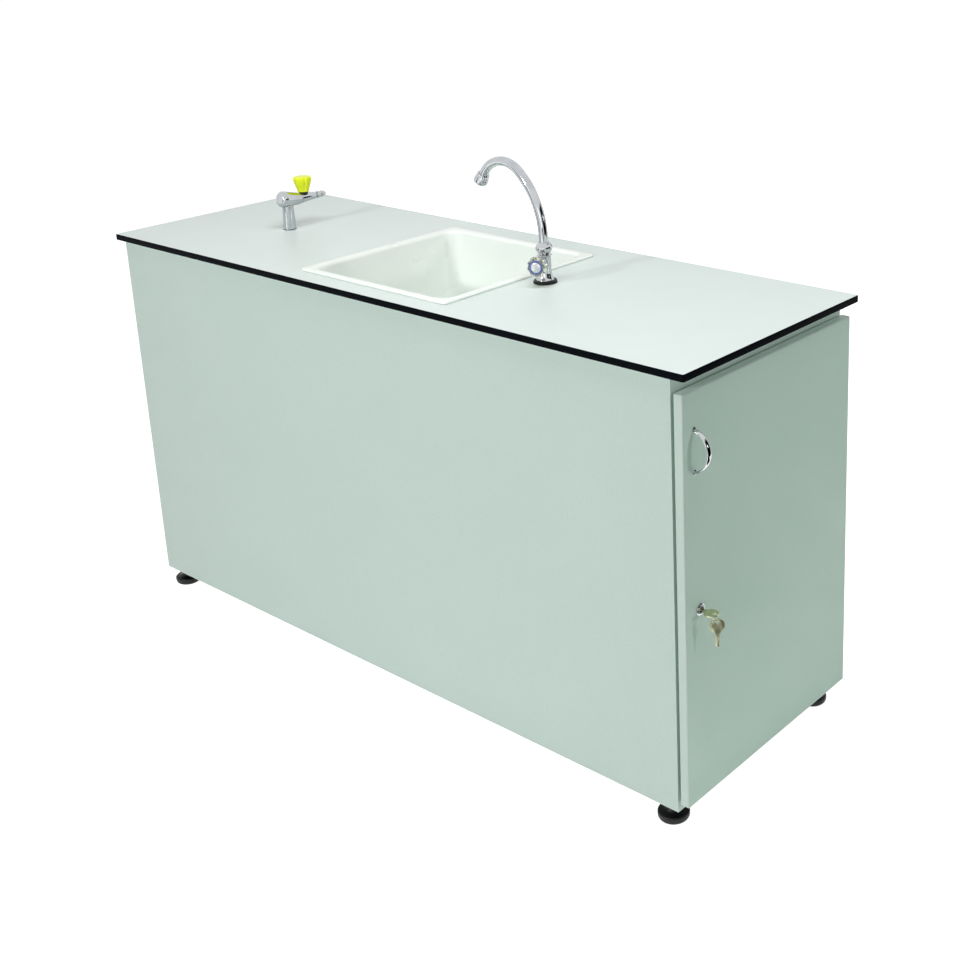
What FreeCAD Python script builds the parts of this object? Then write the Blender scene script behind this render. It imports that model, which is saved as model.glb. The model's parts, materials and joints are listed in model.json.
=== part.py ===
import FreeCAD, Part
import math
import os

# Laboratory sink unit: a closed cupboard on levelling feet with a laminate worktop, a drop-in sink,
# a swan-neck water tap, a bench gas tap and one lockable door on its right end.
# Millimetres. +Z is up, +X runs along the worktop to the door end, +Y runs to the service side.
# The origin is on the floor, under the middle of the whole unit with its key in the lock.

Vec = FreeCAD.Vector
ALONG_X = Vec(1, 0, 0)
ALONG_Y = Vec(0, 1, 0)
ALONG_Z = Vec(0, 0, 1)

# ---- Driving dimensions ----------------------------------------------------------------------

# Worktop: one slab of compact laminate with a black core.
top_length = 1680.0
top_depth = 555.0
top_thickness = 14.0
top_height = 900.0
top_arris = 1.2
top_corner_radius = 4.0
overhang_left = 23.0
overhang_right = 12.0
overhang_front = 10.0
overhang_back = 10.0

# Cupboard of faced board.
board = 18.0
edge_band = 1.0
cupboard_bottom = 42.0
end_rail_height = 62.0
cross_rail_height = 80.0
cross_rail_clearance = 7.0

# Opening in the back panel for the building's services.
service_width = 470.0
service_height = 210.0
service_drop = 510.0
service_corner = 20.0

# Angle brackets that hold the worktop down.
bracket_leg = 32.0
bracket_width = 28.0
bracket_gauge = 2.0
bracket_bay_share = 0.25
bracket_screw_share = 0.62

# Wood screws: brackets, hinges and strike plate.
screw_head_radius = 3.8
screw_radius = 2.0
screw_length = 13.0
screw_head_depth = 1.8

# Door on the right end.
door_thickness = 18.0
door_gap = 6.0
door_bottom = 59.0
door_top_drop = 28.0
door_front_reveal = 1.0
door_back_reveal = 1.0
door_lipping = 3.0
door_arris = 2.6

# Butt hinges.
hinge_count = 3
hinge_length = 65.0
hinge_leaf_gauge = 2.0
hinge_leaf_margin = 3.0
hinge_knuckles = 5
hinge_knuckle_radius = 4.5
hinge_knuckle_gap = 0.4
hinge_pin_radius = 2.2
hinge_pin_head_radius = 3.4
hinge_pin_head = 1.6
hinge_stand_off = 0.6
hinge_end_margin = 92.0
hinge_screw_pitch = 22.0
running_clearance = 0.06
overcut = 1.0
thread_clearance = 0.05
fit_clearance = 0.02
soldered_clearance = 0.05
end_gap = 1.0

# Bow handle.
handle_pitch = 78.0
handle_reach = 34.0
handle_mid_width = 11.5
handle_end_width = 9.0
handle_gauge = 4.6
handle_sections = 10
handle_pad_radius = 5.2
handle_pad_height = 1.8
handle_inset = 31.0
handle_drop = 151.0
handle_screw_radius = 2.0
handle_screw_head_radius = 4.2
handle_screw_head_height = 2.4
head_round = 1.0

# Cam lock.
lock_inset = 41.0
lock_drop = 454.0
lock_barrel_radius = 9.0
lock_hole_clearance = 0.15
lock_flange_radius = 11.5
lock_flange_height = 3.0
lock_flange_round = 1.4
lock_plug_radius = 6.4
lock_plug_face_drop = 0.8
lock_tail = 8.0
lock_nut_flats = 24.0
lock_nut_height = 4.0
cam_gauge = 2.0
cam_width = 15.0
cam_reach = 20.5
cam_gap = 0.4
cam_screw_radius = 2.0
cam_screw_head_radius = 4.2
cam_screw_head_height = 2.0
cam_screw_length = 8.0
cam_corner_round = 4.0
strike_height = 34.0
strike_screw_pitch = 10.0
strike_projection = 8.5
strike_leg = 24.0
strike_gauge = 1.5
strike_cam_gap = 0.8

# Flat keys: one in the lock, its twin hanging from it on a ring.
key_bow_radius = 13.5
key_gauge = 2.0
key_blade_width = 7.0
key_blade_length = 22.0
key_shoulder_out = 2.5
key_shoulder_width = 11.2
key_cuts = 3
key_first_cut = 3.5
key_cut_pitch = 4.2
key_cut_radius = 1.7
key_bow_stand_off = 25.0
key_slot_clearance = 0.1
key_hole_radius = 3.4
key_hole_edge = 3.2
key_ring_radius = 6.5
key_wire_radius = 0.7
key_ring_lift = 2.4
key_ring_sidestep = 5.5
spare_key_turn = 40.0
spare_key_blade = 27.0
spare_key_play = 0.4

# Door bumpers.
bumper_radius = 4.0
bumper_gap = 0.3
bumper_inset = 12.5
bumper_end_margin = 50.0

# Drop-in sink.
sink_from_left = 848.4
sink_forward = 13.0
sink_length = 438.0
sink_width = 438.0
sink_rim_width = 20.0
sink_rim_height = 4.5
sink_rim_corner = 12.0
sink_rim_round = 3.0
sink_mouth_round = 8.0
sink_depth = 250.0
sink_wall = 5.0
sink_draft = 12.0
sink_bowl_corner = 26.0
sink_floor_round = 18.0
sink_boss_rim = 6.0
sink_boss_drop = 2.0
sink_corner_draft = 0.25
sink_cutout_clearance = 4.0
sink_seal_height = 1.0
sink_seal_width = 10.0
sink_seal_inset = 4.0

# Waste and bottle trap.
waste_bore_radius = 20.0
waste_wall = 2.5
waste_flange_radius = 36.0
waste_flange_height = 2.5
waste_flange_edge = 0.8
waste_flange_clearance = 1.0
waste_dish = 1.5
waste_dish_rim = 6.0
waste_thread_clearance = 0.1
waste_tail = 62.0
waste_washer_height = 3.0
waste_nut_radius = 34.0
waste_nut_height = 10.0
nut_grips = 12
nut_grip_radius = 2.6
waste_slot_count = 6
waste_slot_radius = 4.0
waste_slot_circle = 12.0
trap_nut_radius = 29.0
trap_nut_height = 20.0
trap_nut_overlap = 10.0
trap_drop = 58.0
trap_body_radius = 34.0
trap_wall = 3.0
trap_neck_wall = 4.0
trap_neck_height = 14.0
trap_shoulder = 24.0
trap_shoulder_wall = 2.0
trap_seal_clearance = 0.1
trap_socket_length = 26.0
trap_socket_wall = 5.0
dip_pipe_step = 2.0
dip_pipe_flange = 3.0
trap_cup_overlap = 16.0
trap_cup_gap = 3.0
trap_cup_radius = 38.0
trap_cup_height = 48.0
trap_cup_rim = 18.0
trap_cup_taper = 4.0
trap_cup_round = 8.0
trap_cup_wall = 3.0
trap_cup_rib = 2.0
trap_cup_ribs = 16
drain_radius = 20.0
drain_wall = 2.0
drain_below_shoulder = 4.0
drain_seal_clearance = 0.1
drain_flare = 6.0
drain_lip = 6.0
drain_lip_out = 1.4
drain_nut_wall = 9.0
drain_nut_length = 16.0
drain_nut_face = 4.0
drain_past_board = 8.0
drain_socket_length = 42.0
drain_socket_clearance = 0.2

# Swan-neck tap.
tap_beside_sink = 50.1
tap_behind_sink = 9.5
tap_gasket_radius = 24.5
tap_gasket_height = 2.5
tap_flange_radius = 23.5
tap_flange_height = 4.0
tap_flange_round = 1.2
tap_flare = 4.5
tap_flare_hollow = 0.07
tap_waist_radius = 13.5
tap_waist_height = 28.0
tap_band_out = 1.5
tap_band_height = 5.0
tap_boss_wall = 1.5
tap_body_top = 72.0
tap_neck_radius = 12.0
tap_neck_length = 13.0
tap_collar_radius = 17.0
tap_collar_height = 21.0
tap_collar_drop = 9.0
tap_collar_belly = 0.43
tap_collar_tuck = 3.0
tap_collar_lip = 1.6
spout_radius = 9.5
spout_wall = 1.2
spout_insert = 12.0
spout_bead_radius = 11.2
spout_bead_height = 1.6
spout_bead_clearance = 0.3
spout_rise = 91.0
spout_lean_radius = 170.0
spout_lean = 50.0
spout_bend_radius = 66.0
spout_overhang = 58.0
spout_end_run = 8.0
aerator_radius = 14.5
aerator_length = 22.0
aerator_grip = 9.0
aerator_cap = 2.0
aerator_screen = 3.0
aerator_mesh = 2.0
aerator_waist = 1.3
aerator_lip = 2.2
aerator_wall = 3.2
knob_turn = 25.0
knob_height = 44.0
bonnet_radius = 11.0
bonnet_start = 14.5
bonnet_end = 25.0
bonnet_step = 2.5
bonnet_gland = 2.5
bonnet_round = 1.5
knob_radius = 21.5
knob_back_radius = 15.0
knob_length = 25.0
knob_back_round = 4.0
knob_widest = 0.52
knob_band = 4.0
knob_face_rim = 2.2
knob_socket = 8.0
knob_gap = 1.0
knob_flutes = 10
knob_flute_radius = 5.0
knob_flute_bite = 1.5
knob_flute_slope = 3.2
spindle_radius = 3.6
index_radius = 14.5
index_ring_width = 4.0
index_sink = 1.6
index_dome = 1.4
shank_radius = 10.4
shank_bore = 6.0
shank_length = 64.0
tap_hole_clearance = 3.0
backnut_flats = 30.0
backnut_height = 8.0
backnut_washer_radius = 21.0
backnut_washer_height = 2.5
union_flats = 26.0
union_height = 18.0

# Bench gas tap.
gas_from_left = 306.4
gas_gasket_radius = 15.0
gas_gasket_height = 1.2
gas_column_foot_radius = 14.5
gas_column_top_radius = 12.5
gas_axis_height = 67.0
gas_body_radius = 19.3
gas_body_back = 36.0
gas_body_length = 58.5
gas_body_dip = 7.5
gas_body_tail_radius = 11.0
gas_body_belly = 0.01
gas_nose_round = 10.0
gas_valve_radius = 11.7
gas_valve_back = 76.0
gas_valve_end_radius = 9.0
gas_valve_land = 8.0
gas_groove_width = 2.0
gas_groove_depth = 0.8
gas_knob_offset = 47.5
gas_collar_radius = 10.4
gas_collar_top = 13.6
gas_collar_step = 2.0
gas_collar_round = 0.6
gas_collar_foot = 2.0
gas_knob_gap = 0.8
gas_knob_height = 36.0
gas_knob_foot_radius = 13.5
gas_knob_top_radius = 21.5
gas_knob_foot_round = 0.8
gas_knob_crown = 7.0
gas_knob_top_round = 2.8
gas_knob_socket = 8.0
gas_knob_flutes = 9
gas_knob_flute_radius = 4.2
gas_knob_flute_out = 2.6
gas_stem_radius = 3.6
gas_nozzle_hex = 13.0
gas_nozzle_hex_length = 4.0
gas_nozzle_neck_radius = 4.8
gas_nozzle_neck_length = 2.0
gas_nozzle_barbs = 2
gas_barb_length = 12.5
gas_barb_radius = 8.6
gas_barb_rise = 3.5
gas_barb_shrink = 1.0
gas_barb_taper = 2.2
gas_nozzle_bore = 3.2
gas_shank_radius = 8.3
gas_shank_length = 52.0
gas_hole_clearance = 1.0
gas_backnut_flats = 24.0
gas_washer_radius = 16.3
gas_union_flats = 21.0

# Supply pipes.
water_pipe_radius = 7.5
gas_pipe_radius = 6.0
pipe_wall = 1.0
pipe_insert = 0.5
pipe_outlet_rise = 65.0
pipe_bend = 34.0
pipe_past_board = 8.0
water_outlet_offset = 165.0
water_pipe_clearance = 50.0
water_upper_run_rise = 90.0
gas_outlet_offset = 165.0
gas_upper_run_drop = 120.0
pipe_end_bend = 14.0
clip_width = 14.0
clip_wall = 2.5
clip_plate = 3.0
clip_foot = 12.0
clip_mouth = 0.72
clip_stand_off = 4.0
clip_count = 3

# Levelling feet.
foot_pad_radius = 30.5
foot_pad_height = 17.0
foot_pad_round = 9.0
foot_shoulder_round = 3.0
foot_neck_flare = 8.0
foot_neck_radius = 12.5
foot_neck_height = 36.6
foot_inset_x = 35.0
foot_inset_y = 30.0
foot_stem_radius = 5.0
foot_stem_spare = 4.0
foot_travel = 12.0
socket_radius = 21.0
socket_plate = 5.0
socket_edge = 1.5
socket_sleeve_radius = 8.5
socket_sleeve_rise = 2.0
socket_sleeve_clearance = 0.2

# How far a bulged side of a turned outline stands out, as a share of its chord.
quarter = (math.sqrt(2) - 1) / 2
slight = 0.09
faint = 0.03

# ---- Places worked out from the dimensions ----------------------------------------------------

key_hole_out = key_bow_stand_off + key_bow_radius - key_hole_edge - key_hole_radius
key_ring_out = key_hole_out + key_ring_sidestep
spare_turn = math.radians(spare_key_turn)
key_reach = key_ring_out + key_bow_radius * math.sin(spare_turn) + key_gauge / 2 * math.cos(spare_turn)
overall_length = top_length - overhang_right + key_reach
top_left = -overall_length / 2
top_right = top_left + top_length
top_front = -top_depth / 2
top_back = top_depth / 2
top_under = top_height - top_thickness

door_face = top_right - overhang_right
door_inner = door_face - door_thickness
cupboard_right = door_inner - door_gap
cupboard_left = top_left + overhang_left
cupboard_front = top_front + overhang_front
cupboard_back = top_back - overhang_back
inside_front = cupboard_front + board
inside_back = cupboard_back - board
inside_left = cupboard_left + board
inside_floor = cupboard_bottom + board

door_front = cupboard_front + door_front_reveal
door_back = cupboard_back - door_back_reveal
door_top = top_under - door_top_drop
handle_y = door_front + handle_inset
handle_height = top_height - handle_drop
lock_y = door_front + lock_inset
lock_height = top_height - lock_drop
hinge_x = door_inner - door_gap / 2
hinge_y = cupboard_back + hinge_knuckle_radius + hinge_stand_off

sink_x = top_left + sink_from_left
sink_y = (top_front + top_back) / 2 - sink_forward
sink_rim_under = top_height + sink_seal_height
sink_rim_top = sink_rim_under + sink_rim_height
sink_floor = sink_rim_top - sink_depth
sink_under = sink_floor - sink_wall
sink_boss_under = sink_under - sink_boss_drop
tail_end = sink_floor - waste_flange_height - waste_tail
trap_top = tail_end - trap_drop
drain_height = trap_top - trap_shoulder - drain_below_shoulder - drain_radius
trap_cup_top = drain_height - drain_radius - trap_socket_wall - trap_cup_gap
trap_bottom = trap_cup_top - trap_cup_overlap
bowl_length = sink_length - 2 * sink_rim_width
bowl_width = sink_width - 2 * sink_rim_width

tap_x = sink_x + sink_length / 2 + tap_beside_sink
tap_y = sink_y + tap_behind_sink
gas_x = top_left + gas_from_left
gas_y = sink_y
gas_axis = top_height + gas_axis_height
knob_axis = Vec(math.sin(math.radians(knob_turn)), -math.cos(math.radians(knob_turn)), 0)

service_bottom = top_height - service_drop
gas_run_y = inside_back - clip_plate - clip_stand_off - gas_pipe_radius
water_outlet_height = service_bottom + pipe_outlet_rise
gas_outlet_height = service_bottom + pipe_outlet_rise

foot_stem_top = inside_floor + socket_sleeve_rise + foot_travel + foot_stem_spare
foot_xs = (cupboard_left + foot_inset_x, cupboard_right - foot_inset_x)
foot_ys = (cupboard_front + foot_inset_y, cupboard_back - foot_inset_y)


# ---- Helpers ----------------------------------------------------------------------------------

def block(x0, x1, y0, y1, z0, z1):
    """A rectangular board between two corners."""
    return Part.makeBox(x1 - x0, y1 - y0, z1 - z0, Vec(x0, y0, z0))


def rod(radius, start, direction, length):
    """A round bar from start along direction."""
    return Part.makeCylinder(radius, length, start, direction)


def placed(shape, at, direction):
    """The shape with its own +Z laid along direction and its origin at the given point."""
    shape.Placement = FreeCAD.Placement(at, FreeCAD.Rotation(ALONG_Z, direction))
    return shape


def sleeve(radius, bore, length, at, direction=ALONG_Z):
    """A bored disc or tube."""
    return rod(radius, at, direction, length).cut(rod(bore, at, direction, length))


def bulged(start, end, share):
    """The outline's next corner, reached by an arc that stands out by a share of its chord."""
    across = (end[1] - start[1]) * share
    down = (end[0] - start[0]) * share
    return end[0], end[1], (start[0] + end[0]) / 2 + across, (start[1] + end[1]) / 2 - down


def turned(profile, at, direction=ALONG_Z):
    """A turned piece: an outline of (radius, height) corners, some bulged, revolved about its axis."""
    edges = []
    before = profile[-1]
    for corner in profile:
        start = Vec(before[0], 0, before[1])
        end = Vec(corner[0], 0, corner[1])
        if len(corner) > 2:
            edges.append(Part.Arc(start, Vec(corner[2], 0, corner[3]), end).toShape())
        else:
            edges.append(Part.LineSegment(start, end).toShape())
        before = corner
    face = Part.Face(Part.Wire(edges))
    return placed(face.revolve(Vec(0, 0, 0), ALONG_Z, 360), at, direction)


def rounded_outline(cx, cy, length, width, corner, z):
    """A closed rectangle with round corners at height z."""
    x0, x1 = cx - length / 2, cx + length / 2
    y0, y1 = cy - width / 2, cy + width / 2
    cut = corner * (1 - math.sqrt(0.5))
    corners = [(x1, y0, 1, -1), (x1, y1, 1, 1), (x0, y1, -1, 1), (x0, y0, -1, -1)]
    edges = []
    ends = []
    for index, (x, y, sx, sy) in enumerate(corners):
        on_side = Vec(x, y - sy * corner, z)
        on_end = Vec(x - sx * corner, y, z)
        first, last = (on_end, on_side) if index % 2 == 0 else (on_side, on_end)
        middle = Vec(x - sx * cut, y - sy * cut, z)
        edges.append(Part.Arc(first, middle, last).toShape())
        ends.append((first, last))
    for index in range(4):
        start = ends[index][1]
        stop = ends[(index + 1) % 4][0]
        edges.append(Part.LineSegment(start, stop).toShape())
    return Part.Wire(Part.__sortEdges__(edges))


def rounded_slab(cx, cy, length, width, corner, z0, z1):
    """A plate with round corners."""
    outline = rounded_outline(cx, cy, length, width, corner, z0)
    return Part.Face(outline).extrude(Vec(0, 0, z1 - z0))


def edges_at_height(shape, z, reach=0.01):
    """The edges that lie wholly in the plane at height z."""
    flat = []
    for edge in shape.Edges:
        if abs(edge.BoundBox.ZMin - z) < reach and abs(edge.BoundBox.ZMax - z) < reach:
            flat.append(edge)
    return flat


def hex_prism(flats, height, at, direction=ALONG_Z):
    """A hexagon bar of a given size across its flats."""
    radius = flats / math.sqrt(3)
    corners = [Vec(radius * math.cos(math.radians(60 * turn)), radius * math.sin(math.radians(60 * turn)), 0)
               for turn in range(6)]
    face = Part.Face(Part.makePolygon(corners + [corners[0]]))
    return placed(face.extrude(Vec(0, 0, height)), at, direction)


def bent_line(points, bend):
    """Straight runs joined by tangent arcs of one radius."""
    edges = []
    start = points[0]
    for before, corner, after in zip(points, points[1:], points[2:]):
        back = (before - corner).normalize()
        ahead = (after - corner).normalize()
        half_turn = (math.pi - back.getAngle(ahead)) / 2
        run = bend * math.tan(half_turn)
        inward = (back + ahead).normalize()
        centre = corner + inward * (bend / math.cos(half_turn))
        edges.append(Part.LineSegment(start, corner + back * run).toShape())
        arc = Part.Arc(corner + back * run, centre - inward * bend, corner + ahead * run)
        edges.append(arc.toShape())
        start = corner + ahead * run
    edges.append(Part.LineSegment(start, points[-1]).toShape())
    return Part.Wire(edges)


def swept_bar(path, radius):
    """A round bar along a path of lines and arcs."""
    first = path.OrderedEdges[0]
    start = first.valueAt(first.FirstParameter)
    along = first.tangentAt(first.FirstParameter)
    ring = Part.Wire(Part.Circle(start, along, radius).toShape())
    return path.makePipeShell([ring], True, False)


def swept_tube(path, radius, wall):
    """A round pipe along a path of lines and arcs."""
    return swept_bar(path, radius).cut(swept_bar(path, radius - wall))


def wood_screw(at, direction):
    """A countersunk screw with its head flush at the point and its shank along direction."""
    profile = [
        (0, 0),
        (screw_head_radius, 0),
        (screw_radius, screw_head_depth),
        (screw_radius, screw_length),
        (0, screw_length),
    ]
    return turned(profile, at, direction)


def cut_all(shape, tools):
    """The shape with every tool taken out of it."""
    return shape.cut(Part.makeCompound(tools)) if tools else shape


def even_turns(count, first=0.0):
    """Angles spread evenly round a full turn, the first one a share of a step on."""
    return [360.0 * (index + first) / count for index in range(count)]


def pose_about(shape, at, axis, degrees):
    """The shape turned about an axis through a point."""
    moved = shape.copy()
    moved.rotate(at, axis, degrees)
    return moved


# ---- Worktop and cupboard ---------------------------------------------------------------------

def make_worktop():
    """The laminate slab with its sink cut-out and tap holes, its arrises taken off."""
    middle_x = (top_left + top_right) / 2
    slab = rounded_slab(middle_x, 0, top_length, top_depth, top_corner_radius, top_under, top_height)
    rims = edges_at_height(slab, top_under) + edges_at_height(slab, top_height)
    slab = slab.makeChamfer(top_arris, rims)
    length = bowl_length + 2 * (sink_wall + sink_cutout_clearance)
    width = bowl_width + 2 * (sink_wall + sink_cutout_clearance)
    low = top_under - overcut
    through = top_thickness + 2 * overcut
    cutout = rounded_slab(sink_x, sink_y, length, width, sink_bowl_corner + sink_wall, low, low + through)
    tap_hole = rod(shank_radius + tap_hole_clearance, Vec(tap_x, tap_y, low), ALONG_Z, through)
    gas_hole = rod(gas_shank_radius + gas_hole_clearance, Vec(gas_x, gas_y, low), ALONG_Z, through)
    return cut_all(slab, [cutout, tap_hole, gas_hole] + bracket_screws())


def bracket_places():
    """Where the angle brackets sit: (x, y of the panel's inner face, direction into the unit)."""
    left_rail, right_rail = cross_rail_xs()
    bays = [(inside_left, left_rail), (right_rail + board, cupboard_right - board)]
    places = []
    for y, inward in ((inside_front, 1), (inside_back, -1)):
        for start, stop in bays:
            for share in (bracket_bay_share, 1 - bracket_bay_share):
                places.append((start + share * (stop - start), y, inward))
    return places


def bracket_screws():
    """One screw up into the worktop and one into the panel at each bracket."""
    screws = []
    for x, y, inward in bracket_places():
        under = Vec(x, y + inward * bracket_leg * bracket_screw_share, top_under - bracket_gauge)
        side = Vec(x, y + inward * bracket_gauge, top_under - bracket_leg * bracket_screw_share)
        screws.append(wood_screw(under, ALONG_Z))
        screws.append(wood_screw(side, Vec(0, -inward, 0)))
    return screws


def make_brackets():
    """Steel angles between the panels and the worktop."""
    brackets = []
    for x, y, inward in bracket_places():
        left, right = x - bracket_width / 2, x + bracket_width / 2
        far = y + inward * bracket_leg
        flat = block(left, right, min(y, far), max(y, far), top_under - bracket_gauge, top_under)
        near = y + inward * bracket_gauge
        upright = block(left, right, min(y, near), max(y, near), top_under - bracket_leg, top_under)
        angle = flat.fuse(upright).removeSplitter()
        brackets.append(angle.cut(Part.makeCompound(bracket_screws())))
    return Part.makeCompound(brackets)


def hinge_heights():
    """The middle height of each hinge, spread evenly between the door's ends."""
    low = door_bottom + hinge_end_margin
    high = door_top - hinge_end_margin
    step = (high - low) / (hinge_count - 1)
    return [low + index * step for index in range(hinge_count)]


def hinge_screws(x, direction, inset):
    """Two screws in each leaf of every hinge."""
    screws = []
    for z in hinge_heights():
        for side in (-1, 1):
            screws.append(wood_screw(Vec(x, inset, z + side * hinge_screw_pitch), direction))
    return screws


def cupboard_hinge_screws():
    return hinge_screws(cupboard_right + hinge_leaf_gauge, Vec(-1, 0, 0), cupboard_back - board / 2)


def door_hinge_screws():
    return hinge_screws(door_inner - hinge_leaf_gauge, ALONG_X, cupboard_back - board / 2)


def strike_screws():
    """Two screws that hold the strike plate to the front panel."""
    screws = []
    for side in (-1, 1):
        z = lock_height + side * strike_screw_pitch
        at = Vec(strike_x() - strike_leg / 2, inside_front + strike_gauge, z)
        screws.append(wood_screw(at, Vec(0, -1, 0)))
    return screws


def foot_places():
    """Foot name and position."""
    places = {}
    for side, x in zip(("left", "right"), foot_xs):
        for depth, y in zip(("front", "back"), foot_ys):
            places[depth + "_" + side] = (x, y)
    return places


def make_front_panel():
    right = cupboard_right - edge_band
    panel = block(cupboard_left, right, cupboard_front, inside_front, cupboard_bottom, top_under)
    return cut_all(panel, bracket_screws() + strike_screws())


def service_opening():
    """The rounded hole through the back panel."""
    middle = service_bottom + service_height / 2
    depth = board + 2 * overcut
    slab = rounded_slab(sink_x, middle, service_width, service_height, service_corner, 0, depth)
    slab.Placement = FreeCAD.Placement(Vec(0, cupboard_back + overcut, 0), FreeCAD.Rotation(ALONG_X, 90))
    return slab


def clip_places():
    """Pipe clips on the back panel, spread along the gas pipe's level run."""
    first = gas_x + 2 * pipe_bend
    last = sink_x - service_width / 2 - clip_foot - clip_width
    step = (last - first) / (clip_count - 1)
    return [first + index * step for index in range(clip_count)]


def make_left_end():
    """The closed end's panel, between the front and the back."""
    return block(cupboard_left, inside_left, inside_front, inside_back, cupboard_bottom, top_under)


def make_back_panel():
    right = cupboard_right - edge_band
    panel = block(cupboard_left, right, inside_back, cupboard_back, cupboard_bottom, top_under)
    tools = [service_opening()] + bracket_screws() + cupboard_hinge_screws()
    return cut_all(panel, tools)


def make_edge_band(y0, y1, screws):
    """The thin lipping on a panel's right end."""
    band = block(cupboard_right - edge_band, cupboard_right, y0, y1, cupboard_bottom, top_under)
    return cut_all(band, screws)


def socket_holes():
    """Clearance holes in the bottom board for the sleeves of the foot sockets."""
    radius = socket_sleeve_radius + socket_sleeve_clearance
    low = cupboard_bottom - overcut
    through = board + 2 * overcut
    return [rod(radius, Vec(x, y, low), ALONG_Z, through) for x, y in foot_places().values()]


def make_bottom_board():
    board_solid = block(inside_left, cupboard_right, inside_front, inside_back, cupboard_bottom, inside_floor)
    return cut_all(board_solid, socket_holes())


def cross_rail_xs():
    """The left faces of the two rails on either side of the sink bowl."""
    reach = sink_length / 2 + cross_rail_clearance
    return sink_x - reach - board, sink_x + reach


def make_rails():
    """Rails under the worktop: one over the door opening and one on either side of the sink bowl."""
    rails = [block(cupboard_right - board, cupboard_right, inside_front, inside_back,
                   top_under - end_rail_height, top_under)]
    for x in cross_rail_xs():
        rails.append(block(x, x + board, inside_front, inside_back, top_under - cross_rail_height, top_under))
    return Part.makeCompound(rails)


# ---- Sink and waste ---------------------------------------------------------------------------

def sink_axis(z):
    """The point on the waste's upright centre line at one height."""
    return Vec(sink_x, sink_y, z)


def bowl_form(grow, z_top, z_bottom, floor_round):
    """A tapered tub with round corners, grown outward by a wall's thickness."""
    top = rounded_outline(sink_x, sink_y, bowl_length + 2 * grow, bowl_width + 2 * grow,
                          sink_bowl_corner + grow, z_top)
    share = (z_top - z_bottom) / sink_depth
    shrink = 2 * sink_draft * share
    bottom = rounded_outline(sink_x, sink_y, bowl_length + 2 * grow - shrink, bowl_width + 2 * grow - shrink,
                             sink_bowl_corner + grow - sink_draft * share * sink_corner_draft, z_bottom)
    tub = Part.makeLoft([bottom, top], True, True)
    return tub.makeFillet(floor_round, edges_at_height(tub, z_bottom))


def mouth_edges(body):
    """The edges of the bowl's opening, level with the top of the rim."""
    reach = bowl_length / 2 + overcut
    edges = []
    for edge in edges_at_height(body, sink_rim_top):
        if sink_x - reach < edge.BoundBox.XMin and edge.BoundBox.XMax < sink_x + reach:
            edges.append(edge)
    return edges


def make_sink():
    """The bowl with its raised rim lying on the worktop, open at the waste."""
    outer = bowl_form(sink_wall, sink_rim_top, sink_under, sink_floor_round + sink_wall / 2)
    outer = outer.common(block(sink_x - sink_length, sink_x + sink_length, sink_y - sink_width,
                               sink_y + sink_width, sink_under, sink_rim_under + sink_rim_height / 2))
    rim = rounded_slab(sink_x, sink_y, sink_length, sink_width, sink_rim_corner, sink_rim_under, sink_rim_top)
    rim = rim.makeFillet(sink_rim_round, edges_at_height(rim, sink_rim_top))
    body = rim.fuse(outer).cut(bowl_form(0, sink_rim_top, sink_floor, sink_floor_round))
    body = body.makeFillet(sink_mouth_round, mouth_edges(body))
    boss_height = sink_boss_drop + sink_wall / 2
    boss = rod(waste_flange_radius + sink_boss_rim, sink_axis(sink_boss_under), ALONG_Z, boss_height)
    seat_radius = waste_flange_radius + waste_flange_clearance
    seat = rod(seat_radius, sink_axis(sink_floor - waste_flange_height), ALONG_Z, sink_floor_round)
    outlet_at = sink_axis(sink_boss_under - overcut)
    outlet = rod(waste_bore_radius + waste_wall, outlet_at, ALONG_Z, sink_floor_round)
    return body.fuse(boss).cut(seat).cut(outlet).removeSplitter()


def make_sink_seal():
    """The sealing strip between the rim and the worktop."""
    length = sink_length - 2 * sink_seal_inset
    width = sink_width - 2 * sink_seal_inset
    outer = rounded_slab(sink_x, sink_y, length, width, sink_rim_corner, top_height, sink_rim_under)
    inner = rounded_slab(sink_x, sink_y, length - 2 * sink_seal_width, width - 2 * sink_seal_width,
                         sink_rim_corner, top_height - overcut, sink_rim_under + overcut)
    return outer.cut(inner)


def around(count, radius, z):
    """Evenly spaced points on a circle about the waste's centre line."""
    points = []
    for index in range(count):
        angle = 2 * math.pi * index / count
        points.append(sink_axis(z) + Vec(radius * math.cos(angle), radius * math.sin(angle), 0))
    return points


def grip_ring(radius, height, bore, grip_radius):
    """A hand nut standing on the origin: a bored ring with round finger grips cut into its edge."""
    cutters = []
    for index in range(nut_grips):
        angle = 2 * math.pi * index / nut_grips
        place = Vec(radius * math.cos(angle), radius * math.sin(angle), 0)
        cutters.append(rod(grip_radius, place, ALONG_Z, height))
    return cut_all(sleeve(radius, bore, height, Vec(0, 0, 0)), cutters)


def make_strainer():
    """The plated waste fitting: a dished flange with slots and its threaded tail."""
    tail_radius = waste_bore_radius + waste_wall - waste_thread_clearance
    flange_under = sink_floor - waste_flange_height
    strainer = turned(
        [
            (0, sink_floor - waste_dish),
            (waste_flange_radius - waste_dish_rim, sink_floor),
            (waste_flange_radius, sink_floor - waste_flange_edge),
            (waste_flange_radius, flange_under),
            (tail_radius, flange_under),
            (tail_radius, tail_end),
            (waste_bore_radius, tail_end),
            (waste_bore_radius, flange_under - waste_dish),
            (0, flange_under - waste_dish),
        ],
        sink_axis(0),
    )
    low = flange_under - waste_dish - overcut
    slots = [rod(waste_slot_radius, place, ALONG_Z, 2 * waste_flange_radius)
             for place in around(waste_slot_count, waste_slot_circle, low)]
    return cut_all(strainer, slots)


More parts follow.
